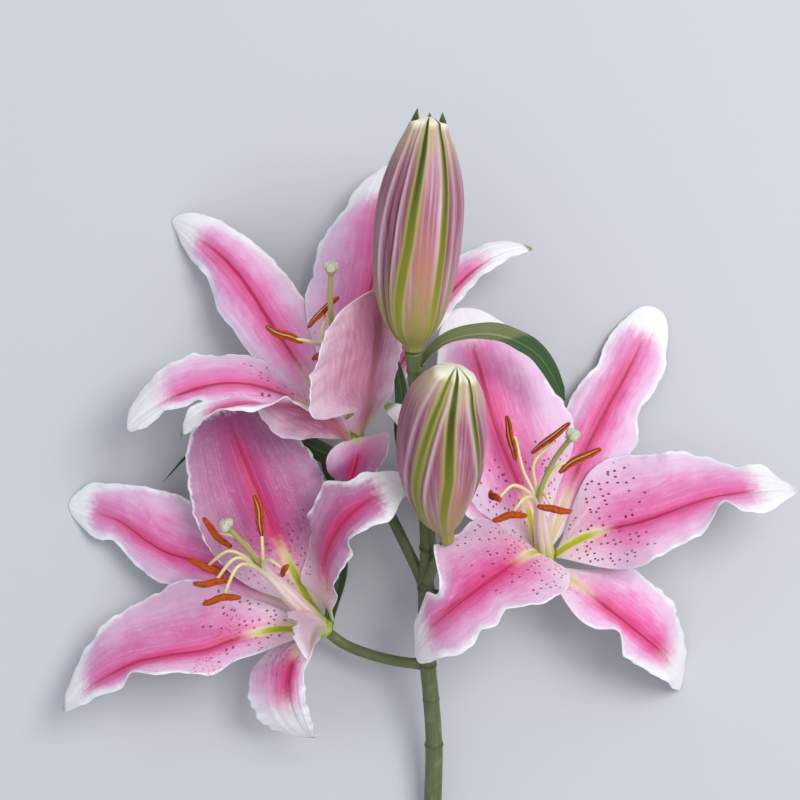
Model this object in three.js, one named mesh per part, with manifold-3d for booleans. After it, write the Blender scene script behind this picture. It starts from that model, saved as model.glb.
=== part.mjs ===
// A cut stem of an oriental lily with three open blooms and two buds, lying on its back on a flat
// surface. Millimetres, +Z up. The stem runs along +Y from its cut end to the top bud, and the
// blooms face up. The origin is on the surface, below the middle of the lily.

import * as THREE from 'three';
import Module from 'manifold-3d';
import { mergeVertices } from 'three/addons/utils/BufferGeometryUtils.js';

const wasm = await Module();
wasm.setup();

const CENTRE = [12.6, -65.8];        // middle of the lily, in the drawing that the places below use
const BLADE = 0.8;                   // thickness of a tepal
const LEAF_BLADE = 0.9;              // thickness of a leaf
const SEAT = 0.3;                    // gap where two pieces meet
const STEM_R = 4.3, STEM_TOP_R = 3.5; // radius of the stem at its cut end and below the top bud
const PEDICEL_R = 2.6;               // radius of a flower stalk
const RECEPTACLE_R = 4.3;            // radius of the disc that carries petals and stamens
const PETAL_RING = 5.0;              // distance of a petal's claw from the bloom's axis
const SEPAL_RING = 6.2;              // the same for a sepal, which grows outside the petals
const SEPAL_DROP = 1.5;              // how far a sepal starts below a petal, along the axis
const FILAMENT_RING = 3.1, FILAMENT_R = 0.9;
const OVARY_R = 1.8, STYLE_R = 1.25, STIGMA_R = 3.2;
const ANTHER_WIDTH = 4.2, ANTHER_DEPTH = 3.0;

const vec = (x, y, z) => new THREE.Vector3(x, y, z);
const rad = THREE.MathUtils.degToRad;
const mix = THREE.MathUtils.lerp;

// Solids from points

function closedGeometry(points, faces) {
  const geometry = new THREE.BufferGeometry();
  const flat = new Float32Array(points.length * 3);
  points.forEach((p, i) => p.toArray(flat, i * 3));
  geometry.setAttribute('position', new THREE.BufferAttribute(flat, 3));
  geometry.setIndex(faces);
  return geometry;
}

// A blade is a grid of points with a normal at each: the upper face and the lower face lie half
// the thickness from the grid, both split into the same triangles, with a strip along the edge.
function bladeGeometry(rows, thickness) {
  const n = rows.length, m = rows[0].length;
  const normal = (i, j) => {
    const a = rows[Math.max(i - 1, 0)][j], b = rows[Math.min(i + 1, n - 1)][j];
    const c = rows[i][Math.max(j - 1, 0)], d = rows[i][Math.min(j + 1, m - 1)];
    return vec().subVectors(d, c).cross(vec().subVectors(b, a)).normalize();
  };
  const points = [], faces = [];
  for (const side of [0.5, -0.5]) {
    for (let i = 0; i < n; i++) {
      for (let j = 0; j < m; j++) {
        points.push(rows[i][j].clone().addScaledVector(normal(i, j), side * thickness));
      }
    }
  }
  const at = (i, j, low) => low * n * m + i * m + j;
  for (let i = 0; i < n - 1; i++) {
    for (let j = 0; j < m - 1; j++) {
      const q = [[i, j], [i, j + 1], [i + 1, j + 1], [i + 1, j]];
      const [a, b, c, d] = q.map(([r, k]) => at(r, k, 0));
      const [e, f, g, h] = q.map(([r, k]) => at(r, k, 1));
      if ((i + j) % 2) faces.push(a, b, c, a, c, d, e, g, f, e, h, g);
      else faces.push(a, b, d, b, c, d, e, h, f, f, h, g);
    }
  }
  const rim = [];
  for (let j = 0; j < m - 1; j++) rim.push([0, j]);
  for (let i = 0; i < n - 1; i++) rim.push([i, m - 1]);
  for (let j = m - 1; j > 0; j--) rim.push([n - 1, j]);
  for (let i = n - 1; i > 0; i--) rim.push([i, 0]);
  rim.forEach(([i, j], k) => {
    const [r, s] = rim[(k + 1) % rim.length];
    const a = at(i, j, 0), b = at(r, s, 0), c = at(i, j, 1), d = at(r, s, 1);
    faces.push(a, c, b, b, c, d);
  });
  return closedGeometry(points, faces);
}

// A round solid along a path: section(s, angle) gives the distance from the path.
function sweepGeometry(path, steps, sides, section, facing = vec(0, 0, 1)) {
  const points = [], faces = [];
  const tangent = (s) => path.getTangent(THREE.MathUtils.clamp(s, 0, 1));
  let side = facing.clone().cross(tangent(0));
  if (side.length() < 0.2) side = vec(1, 0, 0);
  for (let i = 0; i <= steps; i++) {
    const s = i / steps, t = tangent(s);
    side.addScaledVector(t, -side.dot(t)).normalize();
    const up = t.clone().cross(side);
    for (let j = 0; j < sides; j++) {
      const angle = 2 * Math.PI * j / sides, r = section(s, angle);
      points.push(path.getPoint(s).addScaledVector(side, r * Math.cos(angle))
        .addScaledVector(up, r * Math.sin(angle)));
    }
  }
  for (let i = 0; i < steps; i++) {
    for (let j = 0; j < sides; j++) {
      const a = i * sides + j, b = i * sides + (j + 1) % sides, c = a + sides, d = b + sides;
      faces.push(a, b, d, a, d, c);
    }
  }
  points.push(path.getPoint(0), path.getPoint(1));
  const foot = points.length - 2, head = points.length - 1, last = steps * sides;
  for (let j = 0; j < sides; j++) {
    const k = (j + 1) % sides;
    faces.push(foot, k, j, head, last + j, last + k);
  }
  return closedGeometry(points, faces);
}

function solid(geometry) {
  const bare = mergeVertices(geometry, 1e-5);
  return new wasm.Manifold(new wasm.Mesh({
    numProp: 3, vertProperties: bare.attributes.position.array, triVerts: bare.index.array,
  }));
}

function joined(geometries) {
  const whole = geometries.map(solid).reduce((all, next) => all.add(next));
  const { vertProperties, triVerts } = whole.getMesh();
  const geometry = new THREE.BufferGeometry();
  geometry.setAttribute('position', new THREE.BufferAttribute(new Float32Array(vertProperties), 3));
  geometry.setIndex([...triVerts]);
  return geometry;
}

// Lays a place of the drawing, where the lily is seen from above, on the surface.
const place = ([x, y, z]) => vec(x - CENTRE[0], y - CENTRE[1], z);

const lily = new THREE.Group();

function grow(name, geometry, color, roughness = 0.6) {
  const material = new THREE.MeshStandardMaterial({ color, roughness, metalness: 0 });
  const mesh = new THREE.Mesh(geometry, material);
  mesh.name = name;
  lily.add(mesh);
}

// Blooms. Each has a place for its receptacle and an axis that its trumpet opens along. A tepal
// leaves the axis at the angle lean and reaches the angle flare at its tip, on the side azimuth,
// which sways on the way. Its section is an arc that rises towards each margin by the angle cup and
// turns about the midrib, from the first angle of turn to the second. Skew widens one half. The
// margins are ruffled in waves.

const BLOOMS = {
  right_bloom: {
    base: [70.3, -75.6, 22], axis: [0.155, 0.62, 0.77], style: [[64.4, -37.8, 60], [80.4, -14.2, 87]],
    tepals: {
      petal_right: {
        azimuth: 7, sway: -3, lean: 25, flare: 89, bend: 0.76, length: 127, width: 59,
        widest: 0.36, taper: 0.68, skew: 0.19, cup: 5, turn: [-24, 27], ruffle: 2, waves: 3, phase: 0.1,
      },
      petal_upper_left: {
        azimuth: 140, sway: -34, lean: 23, flare: 82, bend: 1.01, length: 130, width: 61,
        widest: 0.43, taper: 0.51, skew: -0.14, cup: 7, turn: [9, -1], ruffle: 1.5, waves: 3, phase: 0,
      },
      petal_lower_left: {
        azimuth: -117, sway: -41, lean: 18, flare: 185, bend: 1.3, length: 130, width: 56,
        widest: 0.42, taper: 0.58, skew: -0.06, cup: 5, turn: [9, -21], ruffle: 2, waves: 3, phase: 0.3,
      },
      sepal_upper_right: {
        azimuth: 72, sway: -11, lean: 40, flare: 69.7, bend: 0.63, length: 132, width: 37,
        widest: 0.48, taper: 0.44, skew: -0.07, cup: 19, turn: [-3, -6], ruffle: 1, waves: 3, phase: 0,
      },
      sepal_left: {
        azimuth: 180, sway: -42, lean: 42, flare: 71.5, bend: 1.3, length: 112, width: 31,
        widest: 0.47, taper: 0.63, skew: -0.33, cup: 6, turn: [-8, -7], ruffle: 0.8, waves: 3, phase: 0,
      },
      sepal_lower_right: {
        azimuth: -60, sway: 85, lean: 40, flare: 164, bend: 0.62, length: 115, width: 39,
        widest: 0.37, taper: 0.61, skew: 0.32, cup: 13, turn: [-2, -38], ruffle: 1.5, waves: 3, phase: 0,
      },
    },
    anthers: [
      [[50.1, -8.4, 61], [53.9, -27.2, 60]], [[62.0, -24.2, 66], [78.3, -11.2, 67]],
      [[74.1, -32.4, 72], [91.7, -22.2, 72]], [[41.1, -42.9, 75], [45.0, -46.0, 87]],
      [[43.0, -54.4, 82], [57.5, -52.2, 83]], [[63.4, -49.2, 87], [77.6, -51.4, 87]],
    ],
  },
  left_bloom: {
    base: [-38.7, -109.2, 26], axis: [-0.43, 0.42, 0.80], style: [[-62, -80, 58], [-81.0, -55.8, 85]],
    tepals: {
      petal_up: {
        azimuth: 95, sway: 10, lean: 25, flare: 79, bend: 1.06, length: 121, width: 64,
        widest: 0.5, taper: 0.57, skew: 0.01, cup: 8, turn: [-16, -19], ruffle: 1, waves: 3, phase: 0,
      },
      petal_lower_left: {
        azimuth: -164, sway: 2, lean: 25.5, flare: 115, bend: 0.93, length: 139, width: 48,
        widest: 0.47, taper: 0.64, skew: -0.4, cup: 5, turn: [7, -12], ruffle: 2, waves: 3, phase: 0,
      },
      petal_near: {
        azimuth: -48, sway: -23, lean: 23, flare: 52, bend: 1.1, length: 76, width: 23,
        widest: 0.49, taper: 0.61, skew: 0.2, cup: -80, turn: [-70, -60], ruffle: 1, waves: 2, phase: 0,
      },
      sepal_left: {
        azimuth: 140, sway: 21, lean: 40.5, flare: 95.8, bend: 1.32, length: 141, width: 42,
        widest: 0.48, taper: 0.57, skew: 0.04, cup: 19, turn: [0, 30], ruffle: 1.2, waves: 3, phase: 0,
      },
      sepal_bottom: {
        azimuth: -122, sway: 47, lean: 33, flare: 199, bend: 0.97, length: 71, width: 34,
        widest: 0.48, taper: 0.63, skew: -0.4, cup: 5, turn: [8, -23], ruffle: 0.8, waves: 2, phase: 0,
      },
      sepal_right: {
        azimuth: 29, sway: -4, lean: 21, flare: 139, bend: 2.39, length: 114, width: 33,
        widest: 0.51, taper: 0.58, skew: 0.18, cup: 5, turn: [1, -11], ruffle: 1.5, waves: 3, phase: 0,
      },
    },
    anthers: [
      [[-92.4, -56.4, 60], [-80.1, -69.0, 62]], [[-66.8, -45.0, 71], [-63.6, -62.2, 70]],
      [[-98.0, -74.0, 64], [-82.6, -81.7, 66]], [[-95.0, -85.4, 74], [-79.0, -83.6, 75]],
      [[-90.4, -93.0, 78], [-74.2, -90.0, 80]], [[-54.6, -80.8, 80], [-52.0, -75.6, 94]],
    ],
  },
  top_bloom: {
    base: [-22.8, -14.2, 47], axis: [-0.11, 0.86, 0.50], style: [[-36.3, 25.6, 68], [-31.4, 62.7, 92]],
    tepals: {
      petal_left: {
        azimuth: -169, sway: -11, lean: 30, flare: 135, bend: 1.11, length: 117, width: 44,
        widest: 0.53, taper: 0.55, skew: -0.34, cup: 13, turn: [-5, 21], ruffle: 1.5, waves: 3, phase: 0,
      },
      petal_near: {
        azimuth: -29, sway: 8, lean: 19, flare: 7, bend: 0.81, length: 80, width: 63,
        widest: 0.51, taper: 0.56, skew: -0.4, cup: 30, turn: [6, 47], ruffle: 0.8, waves: 2, phase: 0,
      },
      petal_back: {
        azimuth: 73, sway: 2, lean: 23, flare: 74, bend: 1.32, length: 135, width: 57,
        widest: 0.47, taper: 0.65, skew: 0.05, cup: 12, turn: [-9, 19], ruffle: 1.5, waves: 4, phase: 0,
      },
      sepal_upper_left: {
        azimuth: 137, sway: -10, lean: 42, flare: 84, bend: 1.83, length: 143, width: 39,
        widest: 0.45, taper: 0.63, skew: -0.12, cup: 35, turn: [5, 69], ruffle: 1, waves: 3, phase: 0,
      },
      sepal_lower_left: {
        azimuth: -110, sway: -95, lean: 35, flare: 152, bend: 1.95, length: 109, width: 27,
        widest: 0.4, taper: 0.8, skew: -0.4, cup: 5, turn: [-110, 30], ruffle: 3, waves: 3, phase: 0.5,
      },
      sepal_right: {
        azimuth: 31, sway: 1, lean: 42, flare: 116, bend: 2.98, length: 127, width: 25,
        widest: 0.47, taper: 0.6, skew: 0.4, cup: 14, turn: [-6, -11], ruffle: 0.8, waves: 3, phase: 0,
      },
      sepal_hanging: {
        azimuth: -74, sway: -90, lean: 91, flare: 174, bend: 1.02, length: 50, width: 35,
        widest: 0.38, taper: 0.61, skew: -0.04, cup: 13, turn: [-22, -37], ruffle: 1, waves: 2, phase: 0,
      },
    },
    anthers: [
      [[-61.0, 33.0, 81], [-45.6, 26.6, 80]], [[-42.5, 34.7, 74], [-29.6, 47.6, 72]],
      [[-33.0, 30.0, 82], [-20.0, 36.0, 80]], [[-27.0, 36.0, 66], [-14.0, 44.0, 64]],
      [[-19.0, 30.0, 74], [-8.0, 38.0, 72]], [[-40.0, 20.0, 84], [-27.0, 24.0, 86]],
    ],
  },
};

function bloomFrame(bloom) {
  const axis = vec(...bloom.axis).normalize();
  const across = vec(1, 0, 0).addScaledVector(axis, -axis.x).normalize();
  return { axis, across, up: axis.clone().cross(across), base: place(bloom.base) };
}

function around({ across, up }, angle) {
  return vec().addScaledVector(across, Math.cos(angle)).addScaledVector(up, Math.sin(angle));
}

// Points, tangents and side vectors of the midrib, found by adding up its direction.
function midrib(frame, tepal, isPetal, places) {
  const steps = 120, found = [];
  const heading = (q) => {
    const away = rad(tepal.lean + (tepal.flare - tepal.lean) * q ** tepal.bend);
    return around(frame, rad(tepal.azimuth + tepal.sway * q)).multiplyScalar(Math.sin(away))
      .addScaledVector(frame.axis, Math.cos(away));
  };
  const point = frame.base.clone()
    .addScaledVector(around(frame, rad(tepal.azimuth)), isPetal ? PETAL_RING : SEPAL_RING)
    .addScaledVector(frame.axis, isPetal ? 0 : -SEPAL_DROP);
  const trail = [point.clone()];
  for (let i = 0; i < steps; i++) {
    point.addScaledVector(heading((i + 0.5) / steps), tepal.length / steps);
    trail.push(point.clone());
  }
  for (const s of places) {
    const k = Math.min(Math.floor(s * steps), steps - 1);
    const along = heading(s);
    const side = around(frame, rad(tepal.azimuth + tepal.sway * s) + Math.PI / 2);
    side.addScaledVector(along, -side.dot(along)).normalize();
    found.push({ point: trail[k].clone().lerp(trail[k + 1], s * steps - k), along, side });
  }
  return found;
}

// Half the width of a tepal: a narrow claw, the full width at widest and a rounded tip.
function halfWidth({ width, widest, taper }, s) {
  const full = width / 2, claw = 1.6;
  if (s < widest) return claw + (full - claw) * Math.sin(Math.PI / 2 * s / widest) ** 1.2;
  const x = (s - widest) / (1 - widest);
  return full * Math.max(1 - x * x, 0) ** taper + 1.1 * x;
}

function tepalGeometry(bloom, tepal, isPetal) {
  const rowsAlong = 13, columns = [-1, -0.7, -0.36, 0, 0.36, 0.7, 1];
  const places = Array.from({ length: rowsAlong + 1 }, (_, i) => 1 - (1 - i / rowsAlong) ** 1.25);
  const rows = midrib(bloomFrame(bloom), tepal, isPetal, places).map(({ point, along, side }, i) => {
    const s = places[i], [first, last] = tepal.turn;
    const inner = side.clone().cross(along).normalize();
    const turn = rad(mix(first, last, s)) * Math.min(1, 4 * s);
    const across = side.clone().multiplyScalar(Math.cos(turn)).addScaledVector(inner, Math.sin(turn));
    const rise = inner.clone().multiplyScalar(Math.cos(turn)).addScaledVector(side, -Math.sin(turn));
    const swell = Math.sqrt(Math.sin(Math.PI * Math.min(s, 0.999)));
    return columns.map((v) => {
      const sign = Math.sign(v) || 1, reach = Math.abs(v), bow = rad(tepal.cup) * reach;
      const half = halfWidth(tepal, s) * (1 + sign * tepal.skew * Math.min(1, 3 * s));
      const chord = bow ? reach * Math.sin(bow) / bow : reach;
      const height = bow ? reach * (1 - Math.cos(bow)) / bow : 0;
      const phase = tepal.phase + (sign < 0 ? 0.5 : 0);
      const wave = tepal.ruffle * v * v * swell * Math.sin(2 * Math.PI * (tepal.waves * s + phase));
      return point.clone().addScaledVector(across, sign * half * chord)
        .addScaledVector(rise, half * height + wave);
    });
  });
  return bladeGeometry(rows, BLADE);
}

// A bar that follows a short bow between two ends, wider than deep, for the pollen.
function antherGeometry(ends, facing) {
  const [a, b] = ends, bow = facing.clone().multiplyScalar(-1.6);
  const middle = a.clone().add(b).multiplyScalar(0.5).sub(bow);
  const path = new THREE.QuadraticBezierCurve3(a, middle, b);
  return sweepGeometry(path, 5, 6, (s, angle) => {
    const swell = 0.35 + 0.65 * Math.sin(Math.PI * s) ** 0.5;
    const across = ANTHER_WIDTH / 2, deep = ANTHER_DEPTH / 2;
    return swell / Math.hypot(Math.cos(angle) / across, Math.sin(angle) / deep);
  }, facing);
}

for (const [name, bloom] of Object.entries(BLOOMS)) {
  const frame = bloomFrame(bloom);
  for (const [part, tepal] of Object.entries(bloom.tepals)) {
    const isPetal = part.startsWith('petal');
    grow(`${name}.${part}`, tepalGeometry(bloom, tepal, isPetal), isPetal ? '#dd7db1' : '#d987b4');
  }

  // The receptacle carries the tepals round its rim and the stamens on its top.
  const along = (d) => frame.base.clone().addScaledVector(frame.axis, d);
  const rims = [3.2, 5.5, 5.5, RECEPTACLE_R, RECEPTACLE_R, 3.6];
  const heart = sweepGeometry(new THREE.LineCurve3(along(-4.2), along(1.6)), 5, 12,
    (s) => rims[Math.round(s * 5)]);

  // Six filaments stand in a ring in the order of their anthers, and each carries one at its back.
  const stamens = bloom.anthers.map((ends) => {
    const [a, b] = ends.map(place), middle = a.clone().lerp(b, 0.5);
    const out = middle.clone().sub(frame.base);
    return { a, b, middle, angle: Math.atan2(out.dot(frame.up), out.dot(frame.across)) };
  }).sort((p, q) => p.angle - q.angle);
  const first = stamens.reduce((sum, { angle }, i) => sum + (angle - i * Math.PI / 3) / 6, 0);
  const filaments = stamens.map((stamen, i) => {
    const foot = along(0.6).addScaledVector(around(frame, first + i * Math.PI / 3), FILAMENT_RING);
    const reach = foot.distanceTo(stamen.middle);
    const facing = stamen.middle.clone().sub(along(reach * 0.45)).normalize();
    const lengthwise = stamen.b.clone().sub(stamen.a).normalize();
    facing.addScaledVector(lengthwise, -facing.dot(lengthwise)).normalize();
    stamen.facing = facing;
    const head = stamen.middle.clone().addScaledVector(facing, 0.8 - ANTHER_DEPTH / 2 - SEAT);
    const path = new THREE.CubicBezierCurve3(foot,
      foot.clone().addScaledVector(frame.axis, reach * 0.4),
      head.clone().addScaledVector(facing, -reach * 0.3), head);
    return sweepGeometry(path, 7, 5, (s) => mix(FILAMENT_R, 0.6, s));
  });
  grow(`${name}.filaments`, joined([heart, ...filaments]), '#cdd27a');
  stamens.forEach(({ a, b, facing }, i) => {
    grow(`${name}.anther_${i + 1}`, antherGeometry([a, b], facing), '#b4521f', 0.9);
  });

  // The pistil: a ribbed ovary, a slender style and a three-lobed stigma.
  const [bendPlace, stigma] = bloom.style.map(place);
  const path = new THREE.CatmullRomCurve3([along(1.6 + 4 * SEAT), along(20), bendPlace, stigma]);
  grow(`${name}.pistil`, sweepGeometry(path, 20, 8, (s, angle) => {
    const knob = THREE.MathUtils.smoothstep(s, 0.91, 0.96);
    const lobes = 1 + 0.14 * Math.cos(3 * angle);
    const stalk = mix(OVARY_R, STYLE_R, THREE.MathUtils.smoothstep(s, 0.2, 0.32));
    return mix(stalk, (s > 0.99 ? 2.2 : STIGMA_R) * lobes, knob);
  }), '#a9ad6e');
}

// Buds. Six tepals closed into one spindle: three ridged sepals outside, and their three points.

const BUDS = {
  top_bud: {
    path: [[6.3, 22.7, 95.4], [7, 45, 105], [8.9, 71.5, 113], [11.6, 97.9, 117], [14.2, 127.8, 118]],
    radii: [3.4, 8.6, 12.8, 16.2, 18.6, 19.4, 18.4, 15.8, 12.4, 8.2, 3.0],
  },
  front_bud: {
    path: [[22, -65, 71], [21.2, -46.1, 87], [20, -24.9, 103], [20.6, -4.5, 115], [23, 15, 123]],
    radii: [3.4, 8.8, 13.6, 17.4, 20.2, 21.0, 20.4, 18.8, 15.2, 10.4, 4.4],
  },
};

for (const [name, { path, radii }] of Object.entries(BUDS)) {
  const spine = new THREE.CatmullRomCurve3(path.map(place));
  grow(name, sweepGeometry(spine, 14, 16, (s, angle) => {
    const k = Math.min(Math.floor(s * 10), 9);
    return mix(radii[k], radii[k + 1], s * 10 - k) * (1 + 0.04 * Math.cos(3 * angle));
  }), '#c08a9c');
}

// Stem and flower stalks, grown together. The cut end lies on the surface.

const STEM_PATH = [
  [14.8, -259.1, 4.3], [16.1, -195.2, 13], [16.5, -167.6, 19], [15.0, -144.8, 25], [13.4, -127.2, 31],
  [12.3, -89.2, 43], [13.2, -69.7, 52], [11.1, -37.1, 66], [8.2, -4.6, 81], [6.3, 22, 95],
];
const STALK_PATHS = [
  [[13.4, -127.2, 31], [0, -126.3, 27], [-14.4, -123.5, 21], [-26.5, -119.3, 16.5], [-33.4, -114.5, 17],
    [-36.6, -111.3, 22]],
  [[12.3, -89.2, 43], [4.7, -73.6, 41], [-2.8, -58.4, 39], [-13.8, -37, 37.6], [-20.6, -25, 40.6],
    [-22.3, -18.5, 44.5]],
  [[12.8, -93, 43], [26, -93.4, 31], [42, -92, 18], [58, -89.5, 10.5], [66.6, -85.4, 11.6], [69.5, -78.8, 18.1]],
  [[12.4, -87, 45], [15.5, -79, 53], [18.6, -72.5, 61], [21.4, -66.5, 69]],
];
const NODES = [0.24, 0.36, 0.58, 0.66, 0.97];   // where leaves and stalks leave the stem

const stemSpine = new THREE.CatmullRomCurve3(STEM_PATH.map(place));
const stem = sweepGeometry(stemSpine, 44, 9, (s) => {
  const knot = NODES.reduce((sum, at) => sum + Math.exp(-(((s - at) / 0.01) ** 2)), 0);
  return mix(STEM_R, STEM_TOP_R, s) * (1 + 0.1 * Math.min(knot, 1));
});
const stalks = STALK_PATHS.map((points) => sweepGeometry(
  new THREE.CatmullRomCurve3(points.map(place)), 12, 7,
  (s) => PEDICEL_R + 0.7 * Math.max(0, 1 - s / 0.12) + 0.6 * Math.max(0, (s - 0.85) / 0.15)));
grow('stem', joined([stem, ...stalks]), '#6d8458');

// Leaves: narrow blades, creased along the middle, that twist on their way.

const LEAVES = {
  leaf_top: {
    path: [[11.8, 17, 92.5], [19, 27.6, 92.5], [29.7, 32, 89], [41.2, 31.6, 84], [53, 27.6, 77],
      [65, 19.5, 69], [77.3, 0, 59]],
    width: 13, tilt: [70, 40, 10], cup: 24,
  },
  leaf_middle: {
    path: [[7.5, -40.3, 60.7], [2.8, -27, 52.3], [0.9, -14.1, 47.8], [1, -2, 49.3], [0, 9, 52.8], [-2.3, 20.1, 57]],
    width: 7, tilt: [30, 10, 0], cup: 20,
  },
  leaf_left: {
    path: [[-26.6, -114.6, 18.3], [-25, -108, 18], [-24.2, -97.3, 17], [-25.6, -77.9, 17], [-28.6, -55.9, 19],
      [-32.6, -39, 21], [-38.4, -29, 24]],
    width: 10, tilt: [20, 30, 20], cup: 20,
  },
  leaf_back: {
    path: [[-24.4, -24.2, 40.6], [-31, -26.3, 37], [-39.3, -23.9, 32], [-52, -17, 25], [-70, -12.4, 18],
      [-90, -15.6, 13], [-103.9, -26.8, 11], [-116, -40.1, 9]],
    width: 12, tilt: [10, 20, 0], cup: 20,
  },
};

for (const [name, { path, width, tilt, cup }] of Object.entries(LEAVES)) {
  const spine = new THREE.CatmullRomCurve3(path.map(place));
  const rowsAlong = 12;
  const rows = Array.from({ length: rowsAlong + 1 }, (_, i) => {
    const s = i / rowsAlong, along = spine.getTangentAt(s), point = spine.getPointAt(s);
    const level = along.clone().cross(vec(0, 0, 1)).normalize(), above = level.clone().cross(along);
    const turn = rad(s < 0.5 ? mix(tilt[0], tilt[1], 2 * s) : mix(tilt[1], tilt[2], 2 * s - 1));
    const across = level.clone().multiplyScalar(Math.cos(turn)).addScaledVector(above, Math.sin(turn));
    const rise = above.multiplyScalar(Math.cos(turn)).addScaledVector(level, -Math.sin(turn));
    const half = 1.2 + (width / 2 - 1.2) * Math.sin(Math.PI * Math.min(1, 0.12 + 0.88 * s)) ** 0.7;
    return [-1, -0.5, 0, 0.5, 1].map((v) => point.clone()
      .addScaledVector(across, v * half)
      .addScaledVector(rise, Math.abs(v) * half * Math.tan(rad(cup))));
  });
  grow(name, bladeGeometry(rows, LEAF_BLADE), '#3f5f3a', 0.5);
}

export default lily;
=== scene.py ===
from functools import partial, reduce

import bpy
import numpy as np
from mathutils import Matrix


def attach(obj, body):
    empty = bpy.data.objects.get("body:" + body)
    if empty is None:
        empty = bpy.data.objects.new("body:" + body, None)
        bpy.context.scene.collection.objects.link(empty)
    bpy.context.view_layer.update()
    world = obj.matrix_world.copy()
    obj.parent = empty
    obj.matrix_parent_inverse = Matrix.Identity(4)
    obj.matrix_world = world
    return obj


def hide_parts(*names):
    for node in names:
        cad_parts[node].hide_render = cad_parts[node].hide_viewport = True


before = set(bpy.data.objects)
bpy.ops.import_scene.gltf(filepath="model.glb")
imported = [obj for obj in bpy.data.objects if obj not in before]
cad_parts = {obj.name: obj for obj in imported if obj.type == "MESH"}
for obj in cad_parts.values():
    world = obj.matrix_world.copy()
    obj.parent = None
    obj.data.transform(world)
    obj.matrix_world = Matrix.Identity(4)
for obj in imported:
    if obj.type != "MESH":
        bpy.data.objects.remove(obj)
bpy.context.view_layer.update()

# Stem and flower stalks.
# A lily's stem is a single waxy olive shoot, cut across at its foot. Four flower stalks grow out of
# it at dark nodes, and more nodes and small scars show where leaves were stripped off.

# Millimetres, as are all sizes up to the mesh. X and Y are measured from the middle of the picture.
STEM_CENTRE = np.array([12.6, -65.8, 0.0])
STEM_PATH = [
    (14.8, -259.1, 4.3), (16.1, -195.2, 13), (16.5, -167.6, 19), (15.0, -144.8, 25), (13.4, -127.2, 31),
    (12.3, -89.2, 43), (13.2, -69.7, 52), (11.1, -37.1, 66), (8.2, -4.6, 81), (6.3, 22, 95)]
STALK_PATHS = [
    [(13.4, -127.2, 31), (0, -126.3, 27), (-14.4, -123.5, 21), (-26.5, -119.3, 16.5), (-33.4, -114.5, 17),
     (-36.6, -111.3, 22)],
    [(12.3, -89.2, 43), (4.7, -73.6, 41), (-2.8, -58.4, 39), (-13.8, -37, 37.6), (-20.6, -25, 40.6),
     (-22.3, -18.5, 44.5)],
    [(12.8, -93, 43), (26, -93.4, 31), (42, -92, 18), (58, -89.5, 10.5), (66.6, -85.4, 11.6),
     (69.5, -78.8, 18.1)],
    [(12.4, -87, 45), (15.5, -79, 53), (18.6, -72.5, 61), (21.4, -66.5, 69)]]
STEM_R, STEM_TOP_R, STALK_R = 4.3, 3.5, 2.6
# How far along the stem each node is, and how much it swells there.
STEM_NODES = ((0.224, 0.14), (0.335, 0.05), (0.444, 0.12), (0.556, 0.12), (0.667, 0.14), (0.965, 0.10))
LOW_PART = 0.222    # the stem is a little thicker up to here
# Colours from 0 to 255, as a paint chart gives them.
DARK_OLIVE, PALE_OLIVE, WAX_AND_SHEEN, YOUNG_GREEN = (72, 84, 48), (106, 119, 78), (124, 136, 102), (104, 118, 78)
SCAR_BROWN, CUT_FACE = (52, 48, 34), (196, 204, 150)


def unit(v):
    """Vectors divided by their lengths."""
    return v / np.linalg.norm(v, axis=-1, keepdims=True)


def bell(x, width):
    """A bell curve, exp(-(x / width)^2)."""
    return np.exp(-(x / width) ** 2)


def ramp(x, start, end):
    """0 at start, 1 at end, straight between and level beyond; start may be above end."""
    return np.clip((x - start) / (end - start), 0, 1)


def turns(count):
    """So many even angles round a tube."""
    return np.linspace(0, 2 * np.pi, count, endpoint=False)


def half_round(angle):
    """How far round a tube an angle is from its far side, as a share of half a turn."""
    return np.abs(angle / np.pi - 1)


def grown_curve(points, t):
    """A smooth curve through points, at the places t from 0 to 1, each stretch a cubic whose end
    slopes follow from its neighbours, with spans weighted by the square root of their length."""
    p = np.asarray(points, float)
    p = np.vstack([2 * p[0] - p[1], p, 2 * p[-1] - p[-2]])
    u = np.clip(t, 0, 1) * (len(points) - 1)
    k = np.minimum(u.astype(int), len(points) - 2)
    w = (u - k)[:, None]
    a, b, c, d = p[k], p[k + 1], p[k + 2], p[k + 3]
    da, db, dc = (np.linalg.norm(y - x, axis=1)[:, None] ** 0.5 for x, y in ((a, b), (b, c), (c, d)))
    m = ((b - a) / da - (c - a) / (da + db) + (c - b) / db) * db
    n = ((c - b) / db - (d - b) / (db + dc) + (d - c) / dc) * db
    return b + m * w + (3 * (c - b) - 2 * m - n) * w ** 2 + (m + n - 2 * (c - b)) * w ** 3


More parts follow.
